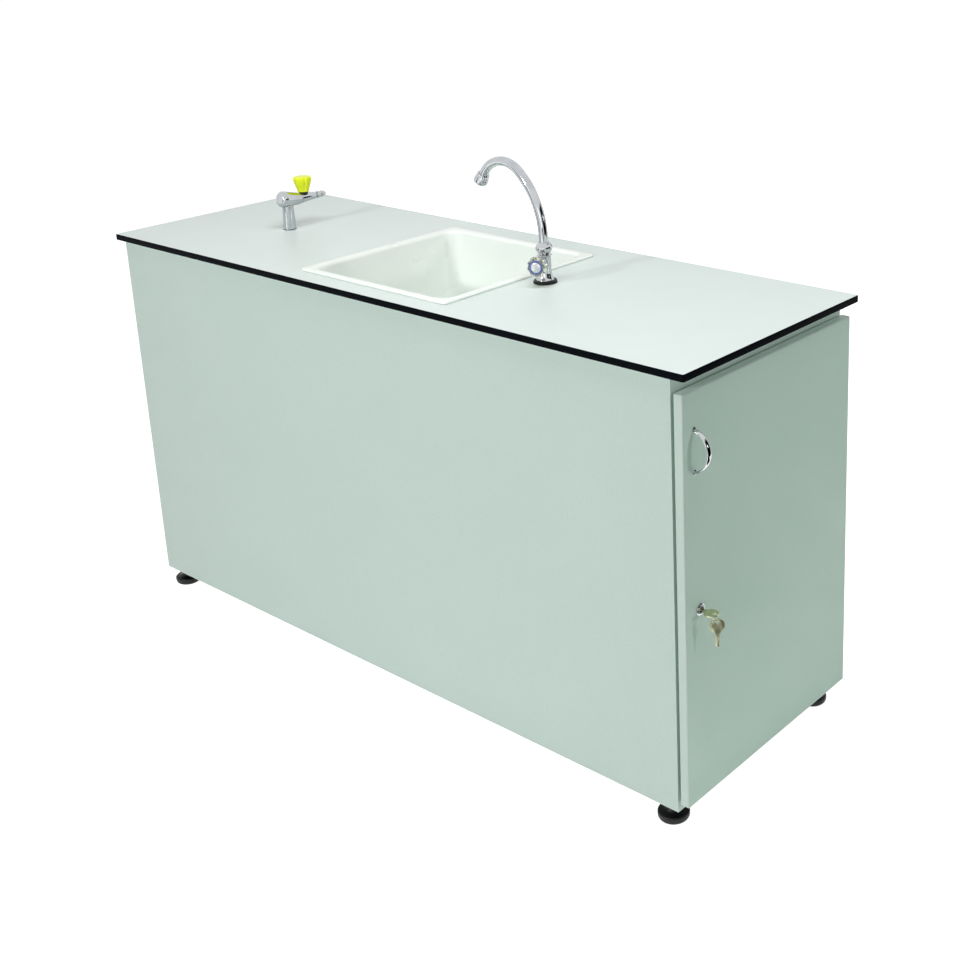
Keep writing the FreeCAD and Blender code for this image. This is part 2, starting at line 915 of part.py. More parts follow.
def make_trap_body():
    """The bottle trap's upper half with the socket that looks to the back."""
    inlet = waste_bore_radius - dip_pipe_step + trap_seal_clearance
    neck = waste_bore_radius + trap_neck_wall
    inner = trap_body_radius - trap_wall
    body = turned(
        [
            (inlet, trap_top),
            (neck, trap_top),
            (neck, trap_top - trap_neck_height),
            (trap_body_radius, trap_top - trap_shoulder),
            (trap_body_radius, trap_bottom),
            (inner, trap_bottom),
            (inner, trap_top - trap_shoulder + trap_shoulder_wall),
            (inlet, trap_top - trap_neck_height),
        ],
        sink_axis(0),
    )
    bore = drain_radius + drain_seal_clearance
    reach = trap_body_radius + trap_socket_length
    socket = rod(drain_radius + trap_socket_wall, sink_axis(drain_height), ALONG_Y, reach)
    socket = socket.cut(rod(inner, sink_axis(trap_bottom), ALONG_Z, trap_top - trap_bottom))
    passage = rod(bore, sink_axis(drain_height), ALONG_Y, reach)
    return body.cut(passage).fuse(socket.cut(passage)).removeSplitter()


def make_trap_cup():
    """The cup screwed on from below, ribbed for the hand and rounded in towards its base."""
    bottom = trap_bottom - trap_cup_height
    bore = trap_body_radius + waste_thread_clearance
    rim_low = trap_cup_top - trap_cup_rim
    side = (trap_body_radius - trap_cup_taper, bottom + trap_cup_round)
    base = (side[0] - trap_cup_round, bottom)
    inner_side = (side[0] - trap_cup_wall, bottom + trap_cup_round)
    inner_base = (base[0] - trap_cup_wall / 2, bottom + trap_cup_wall)
    cup = turned(
        [
            (bore, trap_cup_top),
            (trap_cup_radius, trap_cup_top),
            (trap_cup_radius, rim_low),
            side,
            bulged(side, base, -quarter),
            (0, bottom),
            (0, bottom + trap_cup_wall),
            inner_base,
            bulged(inner_base, inner_side, quarter),
            (trap_body_radius - trap_wall, trap_bottom - 2 * end_gap),
            (bore, trap_bottom - end_gap / 2),
        ],
        sink_axis(0),
    )
    ribs = [rod(trap_cup_rib, place, ALONG_Z, trap_cup_rim + overcut)
            for place in around(trap_cup_ribs, trap_cup_radius, rim_low + overcut)]
    return cut_all(cup, ribs)


def make_drain():
    """The drain pipe to the back with its socket, and the nut that holds it in the trap."""
    start = sink_y + trap_body_radius + 2 * end_gap
    run = cupboard_back + drain_past_board - start
    mouth = drain_radius + drain_socket_clearance
    outer = mouth + drain_wall
    neck = run - drain_socket_length
    lip = run - drain_lip
    drain = turned(
        [
            (drain_radius - drain_wall, 0),
            (drain_radius, 0),
            (drain_radius, neck - drain_flare),
            (outer, neck),
            (outer, lip - drain_lip_out),
            (outer + drain_lip_out, lip),
            (outer + drain_lip_out, run),
            (mouth, run),
            (mouth, neck),
            (drain_radius - drain_wall, neck),
        ],
        Vec(sink_x, start, drain_height),
        ALONG_Y,
    )
    nut_radius = drain_radius + drain_nut_wall
    nut = grip_ring(nut_radius, drain_nut_length, drain_radius + trap_socket_wall, nut_grip_radius)
    face_at = Vec(0, 0, drain_nut_length - drain_nut_face)
    face = sleeve(nut_radius, drain_radius + drain_seal_clearance, drain_nut_face, face_at)
    nut_start = sink_y + trap_body_radius + trap_socket_length + drain_nut_face - drain_nut_length
    nut = placed(nut.fuse(face).removeSplitter(), Vec(sink_x, nut_start, drain_height), ALONG_Y)
    return drain, nut


def make_waste():
    """Waste fitting, bottle trap and drain pipe under the sink."""
    tail_radius = waste_bore_radius + waste_wall
    washer_low = sink_boss_under - waste_washer_height
    washer = sleeve(waste_nut_radius - end_gap, tail_radius, waste_washer_height, sink_axis(washer_low))
    nut = grip_ring(waste_nut_radius, waste_nut_height, tail_radius, nut_grip_radius)
    nut.translate(sink_axis(washer_low - waste_nut_height))
    trap_nut = grip_ring(trap_nut_radius, trap_nut_height, tail_radius, nut_grip_radius)
    trap_nut.translate(sink_axis(tail_end + trap_nut_overlap - trap_nut_height))
    dip_inner = waste_bore_radius - 2 * dip_pipe_step
    dip_outer = waste_bore_radius - dip_pipe_step
    dip_end = trap_bottom + trap_cup_gap
    dip_pipe = turned(
        [
            (dip_inner, dip_end),
            (dip_outer, dip_end),
            (dip_outer, tail_end - dip_pipe_flange),
            (tail_radius, tail_end - dip_pipe_flange),
            (tail_radius, tail_end),
            (dip_inner, tail_end),
        ],
        sink_axis(0),
    )
    drain, drain_nut = make_drain()
    return washer, {
        "waste_strainer": make_strainer(),
        "waste_nuts": Part.makeCompound([nut, trap_nut, drain_nut]),
        "trap_dip_pipe": dip_pipe,
        "trap_body": make_trap_body(),
        "trap_cup": make_trap_cup(),
        "drain_pipe": drain,
    }


# ---- Swan-neck tap ----------------------------------------------------------------------------

def fixing_set(at, shank, washer_radius, nut_flats, joint_flats, shank_end, pipe_radius):
    """Washer, back nut and pipe union on one tap's shank, under the worktop."""
    under = Vec(at.x, at.y, top_under)
    washer_at = under - Vec(0, 0, backnut_washer_height)
    washer = sleeve(washer_radius, shank, backnut_washer_height, washer_at)
    nut_at = washer_at - Vec(0, 0, backnut_height)
    backnut = hex_prism(nut_flats, backnut_height, nut_at)
    backnut = backnut.cut(rod(shank, nut_at, ALONG_Z, backnut_height))
    union_at = Vec(at.x, at.y, shank_end - union_height / 2)
    union = hex_prism(joint_flats, union_height, union_at)
    union = union.cut(rod(shank, Vec(at.x, at.y, shank_end), ALONG_Z, union_height))
    union = union.cut(rod(pipe_radius + soldered_clearance, union_at, ALONG_Z, union_height))
    return {"washer": washer, "backnut": backnut, "union": union}


def make_tap_body(foot, side):
    """The pillar with its flange, hollow from the shank to the swivel, and its side boss."""
    seat = tap_gasket_height
    flange_top = seat + tap_flange_height
    neck_bottom = tap_body_top - tap_neck_length
    bore = spout_radius + running_clearance
    spigot_floor = tap_body_top - spout_insert - end_gap
    flange_edge = (tap_flange_radius, flange_top - tap_flange_round)
    flare = (tap_waist_radius + tap_flare, flange_top + tap_flange_round)
    band_low = (tap_waist_radius, neck_bottom - tap_band_height)
    band = (tap_waist_radius + tap_band_out, neck_bottom - tap_band_height / 2)
    body = turned(
        [
            (shank_bore, seat - shank_length),
            (shank_radius - thread_clearance, seat - shank_length),
            (shank_radius - thread_clearance, seat),
            (tap_flange_radius, seat),
            flange_edge,
            bulged(flange_edge, (tap_flange_radius - tap_flange_round, flange_top), quarter),
            flare,
            bulged(flare, (tap_waist_radius, tap_waist_height), -tap_flare_hollow),
            band_low,
            bulged(band_low, band, slight),
            bulged(band, (tap_neck_radius, neck_bottom), slight),
            (tap_neck_radius, tap_body_top),
            (bore, tap_body_top),
            (bore, spigot_floor),
            (shank_bore, spigot_floor - (bore - shank_bore)),
        ],
        foot,
    )
    boss = rod(bonnet_radius + tap_boss_wall, side, knob_axis, bonnet_start)
    boss = boss.cut(rod(shank_bore, foot, ALONG_Z, tap_body_top))
    return body.fuse(boss).removeSplitter()


def make_collar_nut(foot):
    """The domed nut that keeps the swivelling spout in the pillar."""
    bore = spout_radius + running_clearance
    low = tap_body_top - tap_collar_drop
    high = low + tap_collar_height
    shoulder = tap_body_top + spout_bead_height + 2 * spout_bead_clearance
    widest = (tap_collar_radius, low + tap_collar_height * tap_collar_belly)
    foot_corner = (tap_collar_radius - tap_collar_tuck, low)
    lip = (bore + tap_collar_lip, high)
    return turned(
        [
            (tap_neck_radius + fit_clearance, low),
            foot_corner,
            bulged(foot_corner, widest, slight),
            bulged(widest, lip, slight),
            (bore, high),
            (bore, shoulder),
            (tap_neck_radius + fit_clearance, shoulder),
        ],
        foot,
    )


def spout_path():
    """The swan neck's centre line: a rise, a long lean towards the sink, then a tight bend over."""
    low = Vec(tap_x, tap_y, top_height + tap_body_top - spout_insert)
    lean_start = Vec(tap_x, tap_y, top_height + spout_rise)

    def on_arc(centre, radius, degrees):
        angle = math.radians(degrees)
        return centre + Vec(math.cos(angle), 0, math.sin(angle)) * radius

    lean_centre = lean_start - Vec(spout_lean_radius, 0, 0)
    lean_end = on_arc(lean_centre, spout_lean_radius, spout_lean)
    bend_centre = on_arc(lean_centre, spout_lean_radius - spout_bend_radius, spout_lean)
    last = 90 + spout_overhang
    tip = on_arc(bend_centre, spout_bend_radius, last)
    tip_axis = on_arc(Vec(0, 0, 0), 1.0, last + 90)
    end = tip + tip_axis * spout_end_run
    line = Part.Wire([
        Part.LineSegment(low, lean_start).toShape(),
        Part.Arc(lean_start, on_arc(lean_centre, spout_lean_radius, spout_lean / 2), lean_end).toShape(),
        Part.Arc(lean_end, on_arc(bend_centre, spout_bend_radius, (spout_lean + last) / 2), tip).toShape(),
        Part.LineSegment(tip, end).toShape(),
    ])
    return line, end, tip_axis


def make_spout(foot):
    """The bent tube with the bead that turns under the collar nut, and the aerator on its end."""
    line, end, tip_axis = spout_path()
    tube = swept_tube(line, spout_radius, spout_wall)
    bead_at = foot + Vec(0, 0, tap_body_top + spout_bead_clearance)
    bead = sleeve(spout_bead_radius, spout_radius - spout_wall, spout_bead_height, bead_at)
    grip_start = aerator_length - aerator_grip
    wall = aerator_radius - aerator_wall
    shoulder = (spout_radius + aerator_lip, 0)
    cap_edge = (aerator_radius - aerator_waist, aerator_cap)
    grip_low = (aerator_radius, grip_start + aerator_waist)
    grip_end = (aerator_radius, aerator_length - aerator_waist)
    aerator = turned(
        [
            (spout_radius + fit_clearance, 0),
            shoulder,
            bulged(shoulder, cap_edge, quarter),
            (aerator_radius - aerator_waist, grip_start),
            bulged((aerator_radius - aerator_waist, grip_start), grip_low, slight),
            grip_end,
            bulged(grip_end, (aerator_radius - aerator_waist, aerator_length), quarter),
            (wall, aerator_length),
            (wall, aerator_length - aerator_screen),
            (0, aerator_length - aerator_screen),
            (0, aerator_length - aerator_screen - aerator_mesh),
            (spout_radius + fit_clearance, spout_end_run),
        ],
        end - tip_axis * (spout_end_run - end_gap),
        tip_axis,
    )
    return tube.fuse(bead).removeSplitter(), aerator


def make_bonnet(side):
    """The headwork screwed into the pillar's side, and the spindle that turns in it."""
    gland = bonnet_radius - bonnet_step
    shoulder = (bonnet_radius, bonnet_end - bonnet_gland - bonnet_round)
    bonnet = turned(
        [
            (spindle_radius + running_clearance, bonnet_start),
            (bonnet_radius, bonnet_start),
            shoulder,
            bulged(shoulder, (gland, bonnet_end - bonnet_gland), quarter),
            (gland, bonnet_end),
            (spindle_radius + running_clearance, bonnet_end),
        ],
        side,
        knob_axis,
    )
    start = bonnet_start + end_gap
    reach = bonnet_end + knob_gap + knob_length - knob_socket
    spindle = rod(spindle_radius, side + knob_axis * start, knob_axis, reach - start)
    return bonnet, spindle


def make_knob(side):
    """The fluted clear knob with its blue ring and plated button."""
    start = bonnet_end + knob_gap
    face = start + knob_length
    widest = start + knob_length * knob_widest
    band_end = widest + knob_band
    back = (knob_back_radius - knob_back_round, start)
    back_edge = (knob_back_radius, start + knob_back_round / 2)
    rim = (index_radius + knob_face_rim, face)
    knob = turned(
        [
            (spindle_radius, start),
            back,
            bulged(back, back_edge, quarter),
            bulged(back_edge, (knob_radius, widest), slight),
            (knob_radius, band_end),
            bulged((knob_radius, band_end), rim, quarter),
            (index_radius + thread_clearance, face),
            (index_radius + thread_clearance, face - index_sink),
            (0, face - index_sink),
            (0, face - knob_socket),
            (spindle_radius, face - knob_socket),
        ],
        side,
        knob_axis,
    )
    across = knob_axis.cross(ALONG_Z)
    low = side + knob_axis * (start - overcut) + across * (knob_radius - knob_flute_bite)
    slope = knob_axis * knob_length + across * knob_flute_slope
    kept_at = side + knob_axis * (face - knob_face_rim)
    face_kept = rod(index_radius + knob_face_rim, kept_at, knob_axis, knob_length)
    flute = rod(knob_flute_radius, low, slope, 2 * knob_length).cut(face_kept)
    flutes = [pose_about(flute, side, knob_axis, turn) for turn in even_turns(knob_flutes, 0.5)]
    ring_inner = index_radius - index_ring_width
    ring_top = (ring_inner, face + index_dome / 3)
    index_ring = turned(
        [
            (ring_inner, face - index_sink),
            (index_radius, face - index_sink),
            (index_radius, face),
            bulged((index_radius, face), ring_top, slight),
        ],
        side,
        knob_axis,
    )
    index_cap = turned(
        [
            (0, face - index_sink),
            (ring_inner, face - index_sink),
            ring_top,
            bulged(ring_top, (ring_inner / 6, face + index_dome), slight),
            (0, face + index_dome),
        ],
        side,
        knob_axis,
    )
    return {"tap_knob": cut_all(knob, flutes), "tap_index_ring": index_ring, "tap_index_cap": index_cap}


def make_tap():
    """Every piece of the swan-neck tap, with its fixing under the worktop."""
    foot = Vec(tap_x, tap_y, top_height)
    side = foot + Vec(0, 0, knob_height)
    spout, aerator = make_spout(foot)
    bonnet, spindle = make_bonnet(side)
    fixings = fixing_set(foot, shank_radius, backnut_washer_radius, backnut_flats, union_flats,
                         top_height + tap_gasket_height - shank_length, water_pipe_radius)
    fixings["gasket"] = sleeve(tap_gasket_radius, shank_radius, tap_gasket_height, foot)
    pieces = {
        "tap_body": make_tap_body(foot, side),
        "tap_collar_nut": make_collar_nut(foot),
        "tap_spout": spout,
        "tap_aerator": aerator,
        "tap_bonnet": bonnet,
        "tap_spindle": spindle,
    }
    pieces.update(make_knob(side))
    return fixings, pieces


# ---- Gas tap ----------------------------------------------------------------------------------

def make_gas_body(foot, centre):
    """The drop-shaped body that dips towards the back, on its slim column with the shank below."""
    seat = gas_gasket_height
    column = turned(
        [
            (0, seat - gas_shank_length),
            (gas_shank_radius - thread_clearance, seat - gas_shank_length),
            (gas_shank_radius - thread_clearance, seat),
            (gas_column_foot_radius, seat),
            (gas_column_top_radius, gas_axis_height),
            (0, gas_axis_height),
        ],
        foot,
    )
    dip = math.radians(gas_body_dip)
    along = Vec(0, math.cos(dip), -math.sin(dip))
    nose = centre + Vec(0, gas_body_back, 0) - along * gas_body_length
    nose_edge = (gas_body_radius - gas_nose_round, 0)
    shoulder = (gas_body_radius, gas_nose_round)
    tail = (gas_body_tail_radius, gas_body_length + gas_body_tail_radius)
    drop = turned(
        [
            (0, 0),
            nose_edge,
            bulged(nose_edge, shoulder, quarter),
            bulged(shoulder, tail, gas_body_belly),
            (0, gas_body_length + gas_body_tail_radius),
        ],
        nose,
        along,
    )
    beyond = block(foot.x - gas_body_radius, foot.x + gas_body_radius, foot.y + gas_body_back,
                   foot.y + 2 * gas_body_back, gas_axis - 2 * gas_body_radius, gas_axis + 2 * gas_body_radius)
    return drop.cut(beyond).fuse(column).removeSplitter()


def make_gas_valve(centre, stem_foot):
    """The tapered valve with the collar and stem that carry its knob."""
    groove_end = gas_body_back + gas_groove_width
    valve = turned(
        [
            (0, gas_body_back),
            (gas_valve_radius - gas_groove_depth, gas_body_back),
            (gas_valve_radius - gas_groove_depth, groove_end),
            (gas_valve_radius, groove_end),
            (gas_valve_end_radius, gas_valve_back - gas_valve_land),
            (gas_valve_end_radius, gas_valve_back),
            (0, gas_valve_back),
        ],
        centre,
        ALONG_Y,
    )
    inner = gas_collar_radius - gas_collar_step
    collar_edge = (gas_collar_radius, gas_collar_top - gas_collar_round)
    collar = turned(
        [
            (0, gas_collar_foot),
            (inner, gas_collar_foot),
            (inner, gas_valve_end_radius),
            (gas_collar_radius, gas_valve_end_radius),
            collar_edge,
            bulged(collar_edge, (gas_collar_radius - gas_collar_round, gas_collar_top), quarter),
            (0, gas_collar_top),
        ],
        stem_foot,
    )
    bore_foot = stem_foot + Vec(0, 0, 2 * gas_collar_foot)
    stem_bore = rod(gas_stem_radius + running_clearance, bore_foot, ALONG_Z, gas_collar_top)
    stem_start = bore_foot + Vec(0, 0, gas_knob_gap)
    stem_top = stem_foot.z + gas_collar_top + gas_knob_gap + gas_knob_height - gas_knob_socket
    stem = rod(gas_stem_radius, stem_start, ALONG_Z, stem_top - stem_start.z)
    valve = valve.cut(collar).cut(stem_bore)
    return {"gas_valve": valve, "gas_collar": collar.cut(stem_bore), "gas_stem": stem}


def make_gas_knob(stem_foot):
    """The fluted yellow knob, wider at the top than at its foot."""
    low = gas_collar_top + gas_knob_gap
    high = low + gas_knob_height
    foot_rim = (gas_knob_foot_radius - gas_knob_foot_round, low)
    foot_edge = (gas_knob_foot_radius, low + gas_knob_foot_round)
    widest = (gas_knob_top_radius, high - gas_knob_crown)
    crown_edge = (gas_knob_top_radius, high - gas_knob_top_round)
    knob = turned(
        [
            (gas_stem_radius, low),
            foot_rim,
            bulged(foot_rim, foot_edge, quarter),
            bulged(foot_edge, widest, -faint),
            crown_edge,
            bulged(crown_edge, (gas_knob_top_radius - gas_knob_top_round, high), quarter),
            (0, high),
            (0, high - gas_knob_socket),
            (gas_stem_radius, high - gas_knob_socket),
        ],
        stem_foot,
    )
    lean = gas_knob_top_radius - gas_knob_foot_radius
    start = stem_foot + Vec(gas_knob_foot_radius + gas_knob_flute_out, 0, low + gas_knob_foot_round)
    slope = Vec(lean, 0, gas_knob_height - gas_knob_crown)
    flute = rod(gas_knob_flute_radius, start, slope, 2 * gas_knob_height)
    flutes = [pose_about(flute, stem_foot, ALONG_Z, turn) for turn in even_turns(gas_knob_flutes)]
    return cut_all(knob, flutes)


def make_gas_nozzle(centre):
    """The hose nozzle: a small hexagon, a neck and smooth ribs that shrink towards the end."""
    hex_end = gas_valve_back + gas_nozzle_hex_length
    first = hex_end + gas_nozzle_neck_length
    profile = [
        (gas_nozzle_bore, hex_end),
        (gas_nozzle_neck_radius, hex_end),
        (gas_nozzle_neck_radius, first),
    ]
    for index in range(gas_nozzle_barbs):
        start = first + index * gas_barb_length
        crest = (gas_barb_radius - gas_barb_shrink * index, start + gas_barb_rise)
        fall = (crest[0] - gas_barb_taper, start + gas_barb_length)
        profile.append(bulged(profile[-1], crest, slight))
        profile.append(bulged(crest, fall, faint))
    profile.append((gas_nozzle_bore, first + gas_nozzle_barbs * gas_barb_length))
    nozzle = turned(profile, centre, ALONG_Y)
    hex_at = centre + Vec(0, gas_valve_back, 0)
    hexagon = hex_prism(gas_nozzle_hex, gas_nozzle_hex_length, hex_at, ALONG_Y)
    hexagon = hexagon.cut(rod(gas_nozzle_bore, hex_at, ALONG_Y, gas_nozzle_hex_length))
    return nozzle.fuse(hexagon).removeSplitter()


def make_gas_tap():
    """Every piece of the bench gas tap, with its fixing under the worktop."""
    foot = Vec(gas_x, gas_y, top_height)
    centre = Vec(gas_x, gas_y, gas_axis)
    stem_foot = centre + Vec(0, gas_knob_offset, 0)
    fixings = fixing_set(foot, gas_shank_radius, gas_washer_radius, gas_backnut_flats, gas_union_flats,
                         top_height + gas_gasket_height - gas_shank_length, gas_pipe_radius)
    fixings["gasket"] = sleeve(gas_gasket_radius, gas_shank_radius, gas_gasket_height, foot)
    pieces = {
        "gas_body": make_gas_body(foot, centre),
        "gas_knob": make_gas_knob(stem_foot),
        "gas_nozzle": make_gas_nozzle(centre),
    }
    pieces.update(make_gas_valve(centre, stem_foot))
    return fixings, pieces


# ---- Supply pipes -----------------------------------------------------------------------------

def make_water_pipe():
    """The cold-water pipe: down from the tap, across and out through the service opening."""
    x = sink_x + water_outlet_offset
    level = inside_back - water_pipe_clearance
    turn_height = water_outlet_height + water_upper_run_rise
    line = [
        Vec(tap_x, tap_y, top_height + tap_gasket_height - shank_length - pipe_insert),
        Vec(tap_x, tap_y, turn_height),
        Vec(x, level, turn_height),
        Vec(x, level, water_outlet_height),
        Vec(x, cupboard_back + pipe_past_board, water_outlet_height),
    ]
    return swept_tube(bent_line(line, pipe_bend), water_pipe_radius, pipe_wall)


def make_gas_pipe():
    """The gas pipe: down from the gas tap, along the clips and out through the service opening."""
    end_x = sink_x - gas_outlet_offset
    upper = top_height - gas_upper_run_drop
    line = [
        Vec(gas_x, gas_y, top_height + gas_gasket_height - gas_shank_length - pipe_insert),
        Vec(gas_x, gas_y, upper),
        Vec(gas_x, gas_run_y, upper),
        Vec(gas_x, gas_run_y, gas_outlet_height),
        Vec(end_x - pipe_bend, gas_run_y, gas_outlet_height),
    ]
    corner = Vec(end_x, gas_run_y, gas_outlet_height)
    turn_in = corner - Vec(pipe_end_bend, 0, 0)
    turn_out = corner + Vec(0, pipe_end_bend, 0)
    inward = pipe_end_bend * (1 - math.sqrt(0.5))
    tail = [
        Part.LineSegment(line[-1], turn_in).toShape(),
        Part.Arc(turn_in, corner + Vec(-inward, inward, 0), turn_out).toShape(),
        Part.LineSegment(turn_out, Vec(end_x, cupboard_back + pipe_past_board, gas_outlet_height)).toShape(),
    ]
    path = Part.Wire(bent_line(line, pipe_bend).OrderedEdges + tail)
    return swept_tube(path, gas_pipe_radius, pipe_wall)


def make_clip(x):
    """One snap-in clip on the back panel, open to the front."""
    left, right = x - clip_width / 2, x + clip_width / 2
    z = gas_outlet_height
    plate_face = inside_back - clip_plate
    web = block(left, right, gas_run_y, plate_face, z - clip_wall, z + clip_wall)
    plate = block(left, right, plate_face, inside_back, z - clip_foot, z + clip_foot)
    ring_radius = gas_pipe_radius + clip_wall
    clip = rod(ring_radius, Vec(left, gas_run_y, z), ALONG_X, clip_width).fuse(web).fuse(plate)
    hollow = rod(gas_pipe_radius + fit_clearance, Vec(left, gas_run_y, z), ALONG_X, clip_width)
    gap = gas_pipe_radius * clip_mouth
    mouth = block(left, right, gas_run_y - 2 * gas_pipe_radius, gas_run_y, z - gap, z + gap)
    return clip.cut(hollow).cut(mouth).removeSplitter()


def make_pipes():
    """Copper pipes from both taps to the service opening, and the clips on the gas pipe."""
    clips = [make_clip(x) for x in clip_places()]
    return {
        "water_pipe": make_water_pipe(),
        "gas_pipe": make_gas_pipe(),
        "pipe_clips": Part.makeCompound(clips),
    }


# ---- Door, hinges, handle ---------------------------------------------------------------------

def lock_hole():
    start = Vec(door_inner - overcut, lock_y, lock_height)
    return rod(lock_barrel_radius + lock_hole_clearance, start, ALONG_X, door_thickness + 2 * overcut)


def machine_screw(head_radius, head_height, radius, length, at):
    """A pan-head screw that points along +X, its head's outer face at the point."""
    edge = (head_radius - head_round, 0)
    return turned(
        [
            (0, 0),
            edge,
            bulged(edge, (head_radius, head_round), quarter),
            (head_radius, head_height),
            (radius, head_height),
            (radius, head_height + length),
            (0, head_height + length),
        ],
        at,
        ALONG_X,
    )


def handle_screw_solids():
    """Machine screws from inside the door into the handle's ends."""
    screws = []
    for side in (-1, 1):
        at = Vec(door_inner - handle_screw_head_height, handle_y, handle_height + side * handle_pitch / 2)
        screws.append(machine_screw(handle_screw_head_radius, handle_screw_head_height, handle_screw_radius,
                                    door_thickness + handle_pad_height, at))
    return screws


def make_door():
    """The door's board and the lipping round its four edges."""
    whole = block(door_inner, door_face, door_front, door_back, door_bottom, door_top)
    outer_edges = [edge for edge in whole.Edges if edge.BoundBox.XMax > door_face - door_arris]
    whole = whole.makeFillet(door_arris, outer_edges)
    core = block(door_inner, door_face, door_front + door_lipping, door_back - door_lipping,
                 door_bottom + door_lipping, door_top - door_lipping)
    lipping = whole.cut(core)
    core = cut_all(core, [lock_hole()] + handle_screw_solids() + door_hinge_screws())
    return {"door_board": core, "door_lipping": cut_all(lipping, door_hinge_screws())}


def knuckle_span(index):
    """Lowest and highest point of one knuckle within its hinge."""
    pitch = hinge_length / hinge_knuckles
    low = index * pitch
    high = low + pitch
    if index > 0:
        low += hinge_knuckle_gap / 2
    if index < hinge_knuckles - 1:
        high -= hinge_knuckle_gap / 2
    return low, high


def make_leaf(bottom, parity, x0, x1, y0):
    """One leaf with its knuckles: even ones on the cupboard, odd ones on the door."""
    leaf = block(x0, x1, y0, hinge_y, bottom, bottom + hinge_length)
    axis_foot = Vec(hinge_x, hinge_y, bottom)
    for index in range(hinge_knuckles):
        low, high = knuckle_span(index)
        at = axis_foot + Vec(0, 0, low)
        if index % 2 == parity:
            continue
        room = rod(hinge_knuckle_radius + hinge_knuckle_gap, at - Vec(0, 0, hinge_knuckle_gap), ALONG_Z,
                   high - low + 2 * hinge_knuckle_gap)
        leaf = leaf.cut(room)
    for index in range(parity, hinge_knuckles, 2):
        low, high = knuckle_span(index)
        leaf = leaf.fuse(rod(hinge_knuckle_radius, axis_foot + Vec(0, 0, low), ALONG_Z, high - low))
    bore = hinge_pin_radius + (running_clearance if parity else 0)
    return leaf.cut(rod(bore, axis_foot, ALONG_Z, hinge_length)).removeSplitter()


def make_hinges():
    """Three butt hinges at the back corner: leaves, pins and screws."""
    fixed = []
    moving = []
    pins = []
    leaf_front = cupboard_back - board + hinge_leaf_margin
    for z in hinge_heights():
        bottom = z - hinge_length / 2
        fixed.append(make_leaf(bottom, 0, cupboard_right, cupboard_right + hinge_leaf_gauge, leaf_front))
        moving.append(make_leaf(bottom, 1, door_inner - hinge_leaf_gauge, door_inner, leaf_front))
        pin = turned(
            [
                (0, 0),
                (hinge_pin_radius, 0),
                (hinge_pin_radius, hinge_length),
                (hinge_pin_head_radius, hinge_length),
                (hinge_pin_head_radius, hinge_length + hinge_pin_head),
                (0, hinge_length + hinge_pin_head),
            ],
            Vec(hinge_x, hinge_y, bottom),
        )
        pins.append(pin)
    fixed = Part.makeCompound(fixed).cut(Part.makeCompound(cupboard_hinge_screws()))
    moving = Part.makeCompound(moving).cut(Part.makeCompound(door_hinge_screws()))
    return {
        "hinge_leaves_cupboard": fixed,
        "hinge_leaves_door": moving,
        "hinge_pins": Part.makeCompound(pins),
    }


def make_handle():
    """A bow of flat section, widest in the middle, standing on two round pads."""
    rise = handle_reach - handle_gauge / 2
    half = handle_pitch / 2
    radius = (half * half + rise * rise) / (2 * rise)
    sweep = math.asin(half / radius)
    if rise > half:
        sweep = math.pi - sweep
    centre = Vec(door_face + rise - radius, handle_y, handle_height)
    sections = []
    for index in range(handle_sections + 1):
        angle = -sweep + 2 * sweep * index / handle_sections
        out = Vec(math.cos(angle), 0, math.sin(angle))
        along = Vec(-math.sin(angle), 0, math.cos(angle))
        share = math.cos(angle / sweep * math.pi / 2)
        width = handle_end_width + (handle_mid_width - handle_end_width) * share
        ring = Part.Wire(Part.Ellipse(Vec(0, 0, 0), width / 2, handle_gauge / 2).toShape())
        turn = FreeCAD.Rotation(ALONG_Y, out, along, "ZXY")
        ring.Placement = FreeCAD.Placement(centre + out * radius, turn)
        sections.append(ring)
    bow = Part.makeLoft(sections, True, False)
    outside = block(door_face, door_face + 2 * handle_reach, handle_y - handle_pitch, handle_y + handle_pitch,
                    handle_height - handle_pitch, handle_height + handle_pitch)
    for side in (-1, 1):
        at = Vec(door_face, handle_y, handle_height + side * half)
        bow = bow.fuse(rod(handle_pad_radius, at, ALONG_X, handle_pad_height))
    bow = bow.common(outside).removeSplitter()
    return cut_all(bow, handle_screw_solids())


# ---- Lock, keys and strike --------------------------------------------------------------------

def cam_plane():
    """The cam's outer and inner faces, counted along X."""
    outer = door_inner - lock_tail - cam_gap
    return outer - cam_gauge, outer


def strike_x():
    """The strike plate's face towards the cam."""
    return cam_plane()[1] + strike_cam_gap + strike_gauge


def flat_key(blade_length):
    """A flat key lying in the XY plane: blade along -X from the bow's centre at the origin."""
    bow = rod(key_bow_radius, Vec(0, 0, -key_gauge / 2), ALONG_Z, key_gauge)
    blade_start = -key_bow_radius - blade_length
    blade = block(blade_start, 0, -key_blade_width / 2, key_blade_width / 2, -key_gauge / 2, key_gauge / 2)
    shoulder = block(-key_bow_radius - key_shoulder_out, 0, -key_shoulder_width / 2, key_shoulder_width / 2,
                     -key_gauge / 2, key_gauge / 2)
    key = bow.fuse(blade).fuse(shoulder)
    hole_x = key_bow_radius - key_hole_edge - key_hole_radius
    key = key.cut(rod(key_hole_radius, Vec(hole_x, 0, -key_gauge), ALONG_Z, 2 * key_gauge))
    teeth = []
    for index in range(key_cuts):
        x = blade_start + key_first_cut + index * key_cut_pitch
        teeth.append(rod(key_cut_radius, Vec(x, key_blade_width / 2, -key_gauge), ALONG_Z, 2 * key_gauge))
    return cut_all(key, teeth).removeSplitter()


